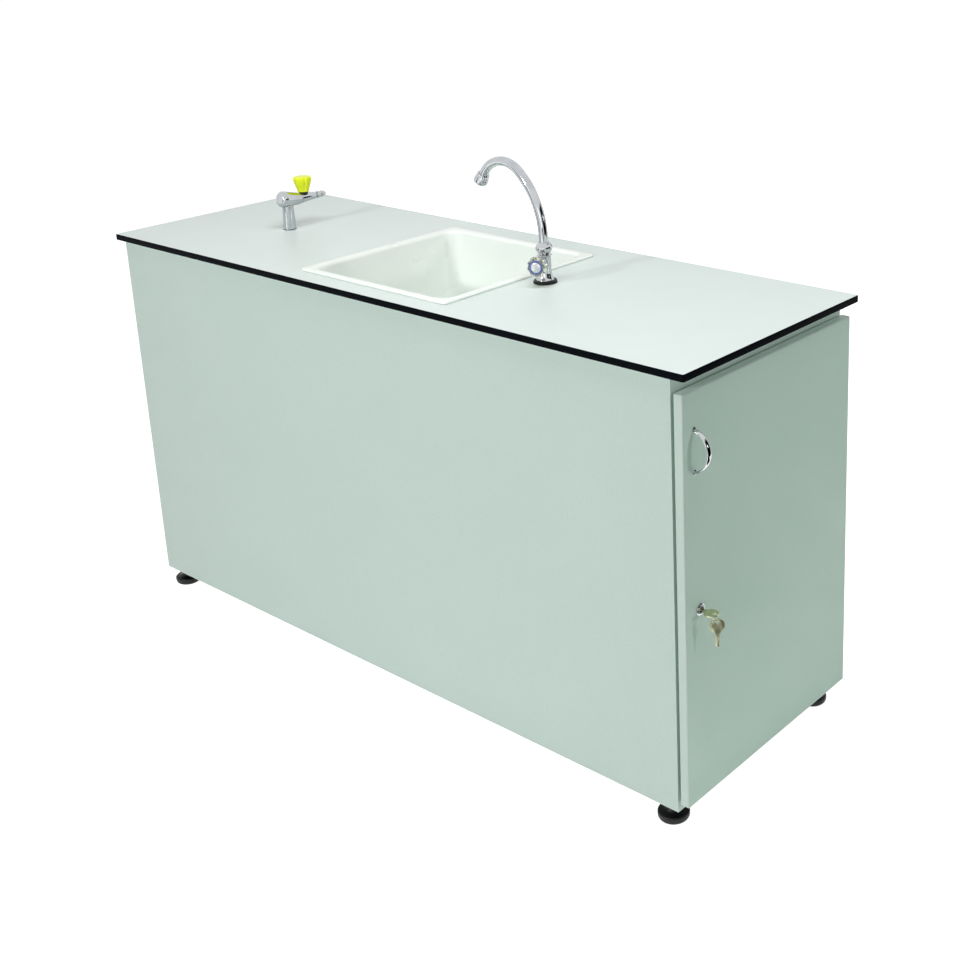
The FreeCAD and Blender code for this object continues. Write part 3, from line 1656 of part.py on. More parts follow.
def make_lock():
    """The cam lock in the door, the key in it and the spare key on its ring."""
    face = Vec(door_face, lock_y, lock_height)
    barrel_end = -door_thickness - lock_tail
    bore = lock_plug_radius + running_clearance
    flange_edge = (lock_flange_radius, lock_flange_height - lock_flange_round)
    barrel = turned(
        [
            (bore, barrel_end),
            (lock_barrel_radius, barrel_end),
            (lock_barrel_radius, 0),
            (lock_flange_radius, 0),
            flange_edge,
            bulged(flange_edge, (lock_flange_radius - lock_flange_round, lock_flange_height), quarter),
            (bore, lock_flange_height),
        ],
        face,
        ALONG_X,
    )
    nut_at = Vec(door_inner - lock_nut_height, lock_y, lock_height)
    nut = hex_prism(lock_nut_flats, lock_nut_height, nut_at, ALONG_X)
    nut = nut.cut(rod(lock_barrel_radius, nut_at, ALONG_X, lock_nut_height))

    plug_face = lock_flange_height - lock_plug_face_drop
    cam_inner, cam_outer = cam_plane()
    plug_end = cam_outer - door_face
    plug = turned(
        [
            (0, plug_end),
            (lock_plug_radius, plug_end),
            (lock_plug_radius, plug_face),
            (0, plug_face),
        ],
        face,
        ALONG_X,
    )
    bow_centre = face + Vec(key_bow_stand_off, 0, 0)
    key = flat_key(key_blade_length)
    key.translate(bow_centre)
    key_tip = key_bow_stand_off - key_bow_radius - key_blade_length
    slot_width = key_blade_width + 2 * key_slot_clearance
    slot_height = key_gauge + 2 * key_slot_clearance
    slot = block(door_face + key_tip - end_gap / 2, door_face + plug_face + overcut, lock_y - slot_width / 2,
                 lock_y + slot_width / 2, lock_height - slot_height / 2, lock_height + slot_height / 2)
    hole_start = Vec(cam_inner - overcut, lock_y, lock_height)
    screw_hole = rod(cam_screw_radius, hole_start, ALONG_X, cam_screw_length + 2 * overcut)
    plug = plug.cut(slot).cut(screw_hole)
    cam = block(cam_inner, cam_outer, lock_y - cam_width / 2, lock_y + cam_width / 2,
                lock_height - cam_reach, lock_height)
    cam = cam.fuse(rod(cam_width / 2, Vec(cam_inner, lock_y, lock_height), ALONG_X, cam_gauge))
    cam = cam.cut(screw_hole).removeSplitter()
    low = lock_height - cam_reach
    low_corners = [edge for edge in cam.Edges
                   if edge.BoundBox.XLength > cam_gauge / 2 and edge.BoundBox.ZMax < low + cam_gauge / 2]
    cam = cam.makeFillet(cam_corner_round, low_corners)
    screw_at = Vec(cam_inner - cam_screw_head_height, lock_y, lock_height)
    cam_screw = machine_screw(cam_screw_head_radius, cam_screw_head_height, cam_screw_radius,
                              cam_screw_length, screw_at)

    ring_centre = face + Vec(key_ring_out, 0, key_ring_lift - key_ring_radius)
    ring = Part.makeTorus(key_ring_radius, key_wire_radius, ring_centre, ALONG_Y)
    spare = flat_key(spare_key_blade)
    hole_to_centre = key_bow_radius - key_hole_edge - key_hole_radius
    hang = ring_centre - Vec(0, 0, key_ring_radius)
    drop = key_hole_radius - key_wire_radius - spare_key_play + hole_to_centre
    spare.Placement = FreeCAD.Placement(hang - Vec(0, 0, drop), FreeCAD.Rotation(ALONG_Y, -90))
    spare = pose_about(spare, hang, ALONG_Z, -spare_key_turn)

    left = strike_x() - strike_leg
    right = strike_x()
    low = lock_height - strike_height / 2
    high = lock_height + strike_height / 2
    flat = block(left, right, inside_front, inside_front + strike_gauge, low, high)
    lip = block(right - strike_gauge, right, inside_front, inside_front + strike_projection, low, high)
    strike = cut_all(flat.fuse(lip).removeSplitter(), strike_screws())
    return {
        "lock_barrel": barrel,
        "lock_nut": nut,
        "lock_plug": plug,
        "lock_cam": cam,
        "cam_screw": cam_screw,
        "key": key,
        "key_ring": ring,
        "spare_key": spare,
        "strike_plate": strike,
    }


def make_bumpers():
    """Two soft domed buttons on the front panel's end, which the door closes against."""
    bumpers = []
    height = door_gap - bumper_gap
    edge = (bumper_radius, height / 2)
    tip = (bumper_radius / 2, height)
    outline = [(0, 0), (bumper_radius, 0), edge, bulged(edge, tip, quarter), (0, height)]
    for z in (door_bottom + bumper_end_margin, door_top - bumper_end_margin):
        at = Vec(cupboard_right, cupboard_front + bumper_inset, z)
        bumpers.append(turned(outline, at, ALONG_X))
    return Part.makeCompound(bumpers)


# ---- Feet -------------------------------------------------------------------------------------

def make_foot(x, y):
    """A levelling foot: the bun-shaped pad with its neck and the stem that rises from it."""
    sole = (foot_pad_radius - foot_pad_round, 0)
    side = (foot_pad_radius, foot_pad_round)
    shoulder = (foot_pad_radius, foot_pad_height - foot_shoulder_round)
    shoulder_top = (foot_pad_radius - foot_shoulder_round, foot_pad_height)
    neck_foot = (foot_neck_radius, foot_pad_height + foot_neck_flare)
    return turned(
        [
            (0, 0),
            sole,
            bulged(sole, side, quarter),
            shoulder,
            bulged(shoulder, shoulder_top, quarter),
            bulged(shoulder_top, neck_foot, -slight),
            (foot_neck_radius, foot_neck_height),
            (foot_stem_radius, foot_neck_height),
            (foot_stem_radius, foot_stem_top - head_round),
            (foot_stem_radius - head_round, foot_stem_top),
            (0, foot_stem_top),
        ],
        Vec(x, y, 0),
    )


def make_sockets():
    """Moulded sockets under the bottom board, with a sleeve up through it."""
    sockets = []
    bore = foot_stem_radius + running_clearance
    for x, y in foot_places().values():
        sockets.append(turned(
            [
                (bore, cupboard_bottom - socket_plate),
                (socket_radius - socket_edge, cupboard_bottom - socket_plate),
                (socket_radius, cupboard_bottom - socket_plate + socket_edge),
                (socket_radius, cupboard_bottom),
                (socket_sleeve_radius, cupboard_bottom),
                (socket_sleeve_radius, inside_floor + socket_sleeve_rise),
                (bore, inside_floor + socket_sleeve_rise),
            ],
            Vec(x, y, 0),
        ))
    return Part.makeCompound(sockets)


# ---- All nodes --------------------------------------------------------------------------------

nodes = {
    "worktop": make_worktop(),
    "front_panel": make_front_panel(),
    "back_panel": make_back_panel(),
    "left_end_panel": make_left_end(),
    "bottom_board": make_bottom_board(),
    "panel_edge_bands": Part.makeCompound([
        make_edge_band(cupboard_front, inside_front, []),
        make_edge_band(inside_back, cupboard_back, cupboard_hinge_screws()),
    ]),
    "top_rails": make_rails(),
    "top_brackets": make_brackets(),
    "cupboard_screws": Part.makeCompound(bracket_screws() + cupboard_hinge_screws() + strike_screws()),
    "door_screws": Part.makeCompound(handle_screw_solids() + door_hinge_screws()),
    "sink_bowl": make_sink(),
    "sink_seal": make_sink_seal(),
    "door_bumpers": make_bumpers(),
    "foot_sockets": make_sockets(),
}
waste_washer, waste_nodes = make_waste()
tap_fixings, tap_nodes = make_tap()
gas_fixings, gas_nodes = make_gas_tap()
nodes["tap_gaskets"] = Part.makeCompound([tap_fixings["gasket"], gas_fixings["gasket"]])
nodes["fixing_washers"] = Part.makeCompound([tap_fixings["washer"], gas_fixings["washer"], waste_washer])
nodes["tap_nuts"] = Part.makeCompound([fixings[name] for fixings in (tap_fixings, gas_fixings)
                                      for name in ("backnut", "union")])
nodes.update(waste_nodes)
nodes.update(tap_nodes)
nodes.update(gas_nodes)
nodes.update(make_pipes())
nodes.update(make_door())
nodes.update(make_hinges())
nodes["handle_bow"] = make_handle()
nodes.update(make_lock())
for foot_name, (foot_x, foot_y) in foot_places().items():
    nodes["foot_" + foot_name] = make_foot(foot_x, foot_y)

os.makedirs("parts", exist_ok=True)
for node_name, solid in nodes.items():
    solid.exportStep("parts/" + node_name + ".step")
print(len(nodes), "nodes written")
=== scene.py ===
# %% [markdown]
# # A laboratory sink unit
# A long grey cupboard stands on black levelling feet. It carries a worktop with a drop-in sink, a swan-neck
# water tap and a bench gas tap, and it has one lockable door on its right end. The solid model gives every
# piece its place. This script gives each surface its finish and models the worktop, the sink and the small
# pieces again with finer forms: the taps, the knobs, the handle, the lock with its keys and the feet.

# %% The frame, and the box it fills
import bmesh
import bpy
import json
import math
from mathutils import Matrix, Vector


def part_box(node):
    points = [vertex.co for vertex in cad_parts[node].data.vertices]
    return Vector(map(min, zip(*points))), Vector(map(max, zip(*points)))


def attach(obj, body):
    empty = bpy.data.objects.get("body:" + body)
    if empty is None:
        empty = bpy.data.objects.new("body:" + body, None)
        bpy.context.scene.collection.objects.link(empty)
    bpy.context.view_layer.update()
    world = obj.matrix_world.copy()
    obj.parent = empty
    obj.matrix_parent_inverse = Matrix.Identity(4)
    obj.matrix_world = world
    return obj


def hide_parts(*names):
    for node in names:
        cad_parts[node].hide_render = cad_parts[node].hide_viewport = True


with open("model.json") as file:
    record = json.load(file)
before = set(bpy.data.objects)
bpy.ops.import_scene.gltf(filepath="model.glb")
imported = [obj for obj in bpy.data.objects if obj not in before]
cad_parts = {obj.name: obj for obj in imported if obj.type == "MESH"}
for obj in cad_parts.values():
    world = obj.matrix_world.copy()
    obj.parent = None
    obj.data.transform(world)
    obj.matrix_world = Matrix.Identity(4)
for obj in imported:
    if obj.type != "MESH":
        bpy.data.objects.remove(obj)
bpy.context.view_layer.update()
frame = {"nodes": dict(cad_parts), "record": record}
solids = frame["nodes"]
MM = 0.001
TURN = 2 * math.pi

# %% [markdown]
# ## Colours and nodes
# Colours are written as sRGB hex values, the way a paint card gives them. The shaders work in linear light,
# so one function converts them. A second function adds any node with its settings and links. The others
# build on it, and each makes one step of a recipe, such as a cloud of noise with its size in millimetres.

# %% Helpers for the finishes
# A Mix node set to colours has its factor, its two colours and its result at these sockets.
MIX_FACTOR, MIX_FIRST, MIX_SECOND, MIX_RESULT = 0, 6, 7, 2


def linear(hex_colour):
    """An sRGB hex colour as linear red, green, blue and alpha."""
    channels = [int(hex_colour[place:place + 2], 16) / 255 for place in (1, 3, 5)]
    return [c / 12.92 if c <= 0.04045 else ((c + 0.055) / 1.055) ** 2.4 for c in channels] + [1.0]


def add_node(owner, kind, inputs=None, **settings):
    """A node with its settings made, and its inputs given values or linked to other nodes' outputs."""
    tree = owner.node_tree
    made = tree.nodes.new(kind)
    for name, value in settings.items():
        setattr(made, name, value)
    for name, value in (inputs or {}).items():
        if isinstance(value, bpy.types.NodeSocket):
            tree.links.new(value, made.inputs[name])
        else:
            made.inputs[name].default_value = value
    return made


def join(owner, output, socket):
    """Links a node's output to another's input."""
    owner.node_tree.links.new(output, socket)


def new_finish(name, **shader_values):
    """A material with an empty recipe, and the coordinates of the piece."""
    material = bpy.data.materials.new(name)
    material.use_nodes = True
    shader = material.node_tree.nodes["Principled BSDF"]
    for socket, value in shader_values.items():
        shader.inputs[socket.replace("_", " ")].default_value = value
    return material, add_node(material, "ShaderNodeTexCoord").outputs["Object"]


def noise(material, vector, size_mm, detail):
    """Noise whose features have a size in millimetres. Its scale counts them in a metre."""
    made = add_node(material, "ShaderNodeTexNoise",
                    {"Vector": vector, "Scale": 1000 / size_mm, "Detail": detail})
    return made.outputs["Fac"]


def spread(owner, factor, low, high, least=0.3, most=0.7):
    """Stretches the part of a noise between least and most until it runs from low to high."""
    made = add_node(owner, "ShaderNodeMapRange",
                    {"Value": factor, "From Min": least, "From Max": most, "To Min": low, "To Max": high})
    return made.outputs[0]


def drift(material, factor, tones):
    """A colour that drifts between two tones."""
    made = add_node(material, "ShaderNodeMix",
                    {MIX_FACTOR: factor, MIX_FIRST: linear(tones[0]), MIX_SECOND: linear(tones[1])},
                    data_type="RGBA")
    return made.outputs[MIX_RESULT]


def mottle(material, place, tones, cloud_mm, speck_mm, lightest):
    """A colour with broad clouds of two tones under a fine speckle."""
    cloud = drift(material, noise(material, place, cloud_mm, 3.0), tones)
    speck = spread(material, noise(material, place, speck_mm, 2.0), 0.975, lightest, least=0.35, most=0.65)
    made = add_node(material, "ShaderNodeVectorMath", {0: cloud, "Scale": speck}, operation="SCALE")
    return made.outputs[0]


def complete(material, colour, roughness, height, strength, depth_mm):
    """Leads a recipe's colour, roughness and height to its Principled shader."""
    shader = material.node_tree.nodes["Principled BSDF"]
    bump = add_node(material, "ShaderNodeBump",
                    {"Height": height, "Strength": strength, "Distance": depth_mm * MM})
    join(material, colour, shader.inputs["Base Color"])
    join(material, roughness, shader.inputs["Roughness"])
    join(material, bump.outputs[0], shader.inputs["Normal"])
    return material


# %% [markdown]
# ## The worktop
# The worktop is compact laminate: many layers of black core paper pressed with resin, under a pale decor
# paper and a matt textured overlay. The overlay has a fine pearl grain of about half a millimetre, drawn
# here at 1.6 mm so that it shows. The sawn and polished edge shows the core: black, even and nearly matt,
# with the faint lines of its layers.

# %% Compact laminate: the decor sheet and the black core
LAYERS = 40     # how many times finer the core's noise is through the slab than along it


def make_decor():
    material, place = new_finish("laminate_decor_sheet")
    pale = mottle(material, place, ("#DDEAE5", "#E5EFEB"), cloud_mm=260, speck_mm=2.5, lightest=1.015)
    rubbed = spread(material, noise(material, place, 60, 4.0), 0.34, 0.46)
    pearl = noise(material, place, 1.6, 2.0)
    return complete(material, pale, rubbed, pearl, strength=0.12, depth_mm=0.1)


def make_core():
    material, place = new_finish("laminate_black_core", Specular_IOR_Level=0.02)
    layered = add_node(material, "ShaderNodeMapping", {"Vector": place, "Scale": (1, 1, LAYERS)}).outputs[0]
    sheets = noise(material, layered, 30, 2.0)
    black = drift(material, sheets, ("#04070B", "#090D13"))
    return complete(material, black, spread(material, sheets, 0.45, 0.6), sheets,
                    strength=0.15, depth_mm=0.05)


# %% [markdown]
# ## The boards
# The cupboard and the door are chipboard faced with grey melamine paper. Such a face is printed in one
# colour and pressed against a textured plate, which leaves a soft orange-peel of one to two millimetres.
# Handling leaves faint clouds in its sheen.

# %% Melamine faces
def make_board(name, tones):
    material, place = new_finish(name)
    grey = mottle(material, place, tones, cloud_mm=340, speck_mm=3.0, lightest=1.02)
    handled = spread(material, noise(material, place, 90, 4.0), 0.42, 0.55)
    peel = noise(material, place, 1.8, 1.5)
    return complete(material, grey, handled, peel, strength=0.15, depth_mm=0.12)


# %% [markdown]
# ## Metals
# The taps are brass, polished and then plated with bright nickel and chrome. The plating is a mirror with a
# cool tint, spoilt only by wipe marks, so its colour hardly varies and its roughness carries the detail.
# Screws and brackets are zinc plated, with a faint crystal pattern. The hinges are brushed steel. The keys
# are nickel-plated brass, and the yellow metal shows where the nickel is thin. Metals keep the default IOR.

# %% One recipe for every metal, with its own colours, sheen and grain
def make_metal(name, tones, roughness, cloud_mm, grain_mm, grain_depth_mm, stretch=(1, 1, 1)):
    material, place = new_finish(name, Metallic=1.0)
    stretched = add_node(material, "ShaderNodeMapping", {"Vector": place, "Scale": stretch}).outputs[0]
    cloud = noise(material, place, cloud_mm, 4.0)
    colour = drift(material, spread(material, cloud, 0.0, 1.0, least=0.35, most=0.65), tones)
    grain = noise(material, stretched, grain_mm, 2.0)
    return complete(material, colour, spread(material, cloud, *roughness), grain,
                    strength=0.3, depth_mm=grain_depth_mm)


# %% [markdown]
# ## Plastics and rubber
# The sink is moulded polypropylene, a very pale cream and half glossy. The feet are black nylon with a fine
# spark texture from their mould. The gaskets are matt rubber. The trap is white polypropylene, and the gas
# knob is dyed bright yellow. The boards' edges carry a thin plastic band in the grey of the faces and a
# little smoother. All of them are one colour through, so what the eye reads is the mould's texture and the
# sheen.

# %% One recipe for every moulded piece
def make_moulded(name, tones, roughness, cloud_mm, grain_mm, grain_depth_mm, grain_detail=2.0, strength=0.25,
                 **shader_values):
    material, place = new_finish(name, **shader_values)
    cloud = noise(material, place, cloud_mm, 3.0)
    grain = noise(material, place, grain_mm, grain_detail)
    colour = drift(material, cloud, tones)
    return complete(material, colour, spread(material, cloud, *roughness), grain,
                    strength=strength, depth_mm=grain_depth_mm)


# %% [markdown]
# ## One finish for each slot
# The model's record names a material slot for every solid, and this table holds the finish of each slot.
# After a finish's two tones come its least and greatest roughness, and then three sizes in millimetres: the
# clouds, the grain and the grain's depth. Three solids differ from their slot. The door's board is the
# panels' grey tinted greener, which is painted light: the greener cast of the lamp on the door end. The seal
# under the sink's rim is white, and the spindle in the clear knob is plated.

# %% Every finish, by the name of its slot
finishes = {
    "laminate_top": make_decor(),
    "faced_board": make_board("grey_melamine_board", ("#C6DAD1", "#CEE0D8")),
    "edge_band": make_moulded("abs_edge_band", ("#C4D8CF", "#CDDFD7"), (0.28, 0.4), 45, 1.5, 0.1,
                              grain_detail=1.0, strength=0.08),
    "chrome": make_metal("bright_chrome_plating", ("#BCC0C4", "#CACDD0"), (0.04, 0.12), 30, 1.2, 0.01),
    "satin_chrome": make_metal("satin_chrome_plating", ("#C2C6C8", "#D6D9DA"), (0.16, 0.26), 20, 1.0, 0.03),
    "satin_steel": make_metal("brushed_steel", ("#B4B6B7", "#C8CACA"), (0.28, 0.4), 25, 0.8, 0.05,
                              stretch=(12, 12, 1)),
    "zinc_steel": make_metal("zinc_plated_steel", ("#B3B5AE", "#CDCFC8"), (0.25, 0.42), 6, 1.5, 0.03),
    "key_steel": make_metal("nickel_plated_brass", ("#C6C99C", "#D2D4B2"), (0.26, 0.38), 9, 0.8, 0.03),
    "brass": make_metal("turned_brass", ("#B58E45", "#CBA862"), (0.22, 0.36), 12, 0.8, 0.03),
    "copper": make_metal("drawn_copper", ("#A5613F", "#C5805A"), (0.2, 0.38), 40, 1.2, 0.03),
    "soft_rubber": make_moulded("black_rubber", ("#131415", "#1B1C1D"), (0.6, 0.75), 12, 0.9, 0.06),
    "black_plastic": make_moulded("black_nylon", ("#050608", "#0B0C0F"), (0.36, 0.48), 18, 0.9, 0.08,
                                  Specular_IOR_Level=0.3),
    "white_silicone": make_moulded("white_silicone", ("#DDE6E0", "#E4ECE7"), (0.45, 0.6), 20, 1.2, 0.04),
    "white_plastic": make_moulded("white_polypropylene", ("#DEDED8", "#E8E8E3"), (0.35, 0.46), 50, 1.4, 0.06),
    "sink_cream": make_moulded("cream_polypropylene", ("#F6FDF7", "#F9FEFA"), (0.24, 0.36), 160, 1.8, 0.05),
    "yellow_plastic": make_moulded("yellow_polypropylene", ("#EEFC0C", "#F6FF1C"), (0.26, 0.36), 14, 1.2,
                                   0.04),
    "blue_plastic": make_moulded("blue_enamel_ring", ("#4E5C9C", "#5F6DAA"), (0.18, 0.28), 6, 0.8, 0.02),
    "clear_acrylic": make_moulded("clear_acrylic", ("#F3F5DC", "#FAFBEA"), (0.03, 0.09), 15, 2.0, 0.02,
                                  Transmission_Weight=1.0, IOR=1.49),
}
for row in frame["record"]["subparts"]:
    solid = solids[row["node"]]
    solid.data.materials.clear()
    solid.data.materials.append(finishes[row["material_slot"]])
# The door gets a copy of the panels' board tinted greener: painted light, the cast of the lamp on the door
# end.
solids["door_board"].data.materials[0] = make_board("grey_melamine_board_painted_door_light", ("#BFDCCD", "#C7E2D4"))
solids["sink_seal"].data.materials[0] = finishes["white_silicone"]
solids["tap_spindle"].data.materials[0] = finishes["satin_chrome"]
print(len(finishes), "finishes on", len(solids), "solids")

# %% [markdown]
# ## Tools for every piece
# Operators act on what is selected and on the active object, so two helpers set these. A modifier is applied
# as soon as it is added, and a piece's place and turn are made its mesh's own. All sizes in this script are
# in millimetres unless a comment says otherwise, and MM turns them into Blender's metres.

# %% Selecting, placing and finishing
SAME_POINT = 0.005      # points nearer to each other than this are merged
EDGE_ANGLE = 32         # two faces that meet at more degrees than this make an edge


def nothing_selected():
    """Leaves edit mode and selects nothing."""
    if bpy.context.object and bpy.context.object.mode != "OBJECT":
        bpy.ops.object.mode_set(mode="OBJECT")
    bpy.ops.object.select_all(action="DESELECT")


def take(piece):
    """Selects the piece alone and makes it the active object."""
    nothing_selected()
    piece.select_set(True)
    bpy.context.view_layer.objects.active = piece


def open_new(name):
    """Names the object that was just added and opens it in edit mode, with all of it selected."""
    piece = bpy.context.object
    piece.name = name
    bpy.ops.object.mode_set(mode="EDIT")
    bpy.ops.mesh.select_all(action="SELECT")
    return piece


def fix_place():
    """Makes the selected object's place, turn and size its mesh's own."""
    bpy.ops.object.transform_apply(location=True, rotation=True, scale=True)


def modify(piece, kind, **settings):
    """Adds a modifier with its settings and applies it at once."""
    change = piece.modifiers.new(kind, kind)
    for name, value in settings.items():
        setattr(change, name, value)
    bpy.ops.object.modifier_apply(modifier=change.name)


def extrude(step):
    """Extrudes what is selected by a step in metres."""
    bpy.ops.mesh.extrude_region_move(TRANSFORM_OT_translate={"value": step})


def close_up(piece, bevel_mm, angle=EDGE_ANGLE):
    """Merges doubles, turns the faces outward, leaves edit mode, breaks the edges and smooths the shading."""
    bpy.ops.mesh.select_all(action="SELECT")
    bpy.ops.mesh.remove_doubles(threshold=SAME_POINT * MM)
    bpy.ops.mesh.normals_make_consistent(inside=False)
    bpy.ops.object.mode_set(mode="OBJECT")
    if bevel_mm:
        modify(piece, "BEVEL", width=bevel_mm * MM, segments=3, limit_method="ANGLE",
               angle_limit=math.radians(angle))
    bpy.ops.object.shade_smooth_by_angle(angle=math.radians(angle))


def set_down(piece, foot, towards=(0, 0, 1)):
    """Turns the piece's own Z towards a direction and moves it to its foot, a point in metres."""
    take(piece)
    piece.rotation_mode = "QUATERNION"
    piece.rotation_quaternion = Vector((0, 0, 1)).rotation_difference(Vector(towards))
    piece.location = foot
    fix_place()


def belongs(piece, body, slot, *nodes, finish=None):
    """Gives the piece its finish, its body and the solids that it stands for."""
    piece.data.materials.clear()
    piece.data.materials.append(finish or finishes[slot])
    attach(piece, body)
    if nodes:
        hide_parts(*nodes)
    print(piece.name, len(piece.data.polygons), "faces")


def middle_of(node):
    """The middle of a solid's box, in metres."""
    low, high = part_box(node)
    return (low + high) / 2


# %% [markdown]
# ## Turning
# Most of the small pieces are made on a lathe or have a lathe's symmetry. Each starts as one point that is
# extruded along the outline of half a cut through the piece, and the outline is then spun about the axis.
# A bevel modifier breaks the sharp edges, because no turned or plated edge is quite sharp.

# %% Outlines that are spun
def spin_outline(name, outline, steps=64):
    """Half a cut through a piece, as points of (radius, height), spun round Z. It stays in edit mode."""
    nothing_selected()
    bpy.ops.mesh.primitive_plane_add(size=1 * MM, location=(0, 0, 0))
    piece = open_new(name)
    bpy.ops.mesh.merge(type="CENTER")
    bpy.ops.transform.translate(value=(outline[0][0] * MM, 0, outline[0][1] * MM))
    for (radius, height), (next_radius, next_height) in zip(outline, outline[1:]):
        extrude(((next_radius - radius) * MM, 0, (next_height - height) * MM))
    bpy.ops.mesh.select_all(action="SELECT")
    bpy.ops.mesh.spin(steps=steps, angle=TURN, center=(0, 0, 0), axis=(0, 0, 1))
    return piece


def turned(name, outline, foot, towards=(0, 0, 1), bevel_mm=0.4, steps=64):
    """A finished turned piece."""
    piece = spin_outline(name, outline, steps)
    close_up(piece, bevel_mm)
    set_down(piece, foot, towards)
    return piece


def arc(centre_radius, centre_height, radius, start, stop, steps):
    """Points of a round stretch of an outline, from one angle to another in degrees."""
    angles = [math.radians(start + (stop - start) * step / steps) for step in range(steps + 1)]
    return [(centre_radius + radius * math.cos(angle), centre_height + radius * math.sin(angle))
            for angle in angles]


# %% [markdown]
# ## Picking, cutting and joining
# One helper selects points of the piece that is open in edit mode, by their place. Another joins a tool to a
# piece, or cuts the piece with it, by a boolean modifier. The tools are discs and slabs.

# %% Picking points, and tools for booleans
def pick(test):
    """Selects only those points of the open piece whose place passes the test."""
    bpy.ops.mesh.select_mode(type="VERT")
    bpy.ops.mesh.select_all(action="DESELECT")
    opened = bpy.context.object.data
    mesh = bmesh.from_edit_mesh(opened)
    for point in mesh.verts:
        point.select_set(bool(test(point.co)))
    mesh.select_flush_mode()
    bmesh.update_edit_mesh(opened)


def combine(piece, tool, operation):
    """Joins a tool to the piece, or cuts the piece with it, and takes the tool away."""
    take(piece)
    modify(piece, "BOOLEAN", operation=operation, object=tool, solver="EXACT")
    bpy.data.objects.remove(tool)


def disc(radius, height, place, vertices=48):
    """A round tool with its middle at a place."""
    nothing_selected()
    bpy.ops.mesh.primitive_cylinder_add(vertices=vertices, radius=radius * MM, depth=height * MM,
                                        location=Vector(place) * MM)
    return bpy.context.object


def slab(low_corner, high_corner):
    """A square tool between two corners."""
    nothing_selected()
    sizes = [(high - low) * MM for low, high in zip(low_corner, high_corner)]
    middle = [(high + low) / 2 * MM for low, high in zip(low_corner, high_corner)]
    bpy.ops.mesh.primitive_cube_add(size=1, location=middle, scale=sizes)
    return bpy.context.object


# %% [markdown]
# ## The worktop slab
# The slab is made as its maker makes it: a black core between two thin decor sheets. Each starts as a flat
# square that is scaled to its size. Its corners are rounded by a vertex bevel before it is extruded to its
# thickness. The core's edges are broken by a small chamfer, so the black shows as a line round the pale top.
# The sink's cut-out and the two tap holes are cut through all three.

# %% Core and decor sheets
slab_low, slab_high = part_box("worktop")
slab_middle = (slab_low + slab_high) / 2
slab_half_x, slab_half_y = (slab_high.x - slab_low.x) / 2 / MM, (slab_high.y - slab_low.y) / 2 / MM
slab_thickness = (slab_high.z - slab_low.z) / MM
TOP = slab_high.z
SLAB_CORNER, CHAMFER, DECOR = 4.0, 1.2, 0.15

sink_low, sink_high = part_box("sink_bowl")
sink_middle = (sink_low + sink_high) / 2
tap_axis = middle_of("tap_collar_nut")
gas_knob_middle = middle_of("gas_knob")
GAS_KNOB_OFFSET = 47.5      # how far the gas tap's column stands in front of its knob
gas_foot = Vector((middle_of("gas_body").x, gas_knob_middle.y - GAS_KNOB_OFFSET * MM, TOP))
CUT_OUT_HALF, CUT_OUT_REACH = 207.0, 40.0
TAP_HOLE, GAS_HOLE, DRILL_LENGTH = 14.0, 9.0, 60.0


def rounded_plate(name, half_x, half_y, corner, low, height):
    """A plate with round corners on the slab's middle. It stays in edit mode, all selected."""
    nothing_selected()
    bpy.ops.mesh.primitive_plane_add(size=2 * MM, location=(slab_middle.x, slab_middle.y, low))
    bpy.context.object.scale = (half_x, half_y, 1)
    fix_place()
    plate = open_new(name)
    bpy.ops.mesh.bevel(offset=corner * MM, segments=6, affect="VERTICES")
    extrude((0, 0, height * MM))
    return plate


def open_for_fittings(plate):
    """Cuts the two tap holes and the sink's opening."""
    for axis, radius in ((tap_axis, TAP_HOLE), (gas_foot, GAS_HOLE)):
        combine(plate, disc(radius, DRILL_LENGTH, (axis.x / MM, axis.y / MM, TOP / MM)), "DIFFERENCE")
    middle = Vector((sink_middle.x, sink_middle.y, TOP)) / MM
    reach = Vector((CUT_OUT_HALF, CUT_OUT_HALF, CUT_OUT_REACH))
    combine(plate, slab(middle - reach, middle + reach), "DIFFERENCE")


core = rounded_plate("worktop_core", slab_half_x, slab_half_y, SLAB_CORNER,
                     slab_low.z + DECOR * MM, slab_thickness - 2 * DECOR)
close_up(core, CHAMFER - DECOR, angle=50)
open_for_fittings(core)
belongs(core, "cabinet", "laminate_top", "worktop", finish=make_core())
inset = CHAMFER - DECOR
for name, low in (("worktop_decor_sheet", slab_high.z - DECOR * MM), ("worktop_balancing_sheet", slab_low.z)):
    sheet = rounded_plate(name, slab_half_x - inset, slab_half_y - inset, SLAB_CORNER - inset, low, DECOR)
    close_up(sheet, 0)
    open_for_fittings(sheet)
    belongs(sheet, "cabinet", "laminate_top")

# %% [markdown]
# ## The sink
# The bowl is moulded in one piece with its rim. Its skin is a series of rings: squares with round corners
# that are drawn in and down, from the rim over the rounded mouth, along the drafted walls and round into the
# floor. Further series make the rim's edge, the outside of the bowl and the round waste hole. Where two
# series meet, the flat gap between their end rings is filled, which closes the skin.

# %% Rim, bowl and waste hole
SEAL, DEPTH = 1.0, 250.0
RIM_TOP, RIM_UNDER = sink_high.z / MM, TOP / MM + SEAL
RIM_HALF, RIM_ROUND, RIM_CORNER = (sink_high.x - sink_low.x) / 2 / MM, 3.0, 12.0
MOUTH_HALF, MOUTH_ROUND, MOUTH_CORNER = 199.0, 8.0, 26.0
DRAFT, SKIN, WASTE_HOLE = 12.0, 5.0, 37.0
FLOOR, FLOOR_HALF, FLOOR_ROUND = RIM_TOP - DEPTH, MOUTH_HALF - DRAFT, 18.0
FLOOR_RINGS = (120.0, 70.0)
WALL_RINGS = (0.34, 0.67)       # where the two rings on the wall lie, as shares of its height
UNDER = FLOOR - SKIN
LEVEL, NEAR = 0.01, 0.5         # how far a picked point may be off its ring, in height and to the side
CORNER_GAP = 0.3                # a round corner is this share of its radius nearer to the middle


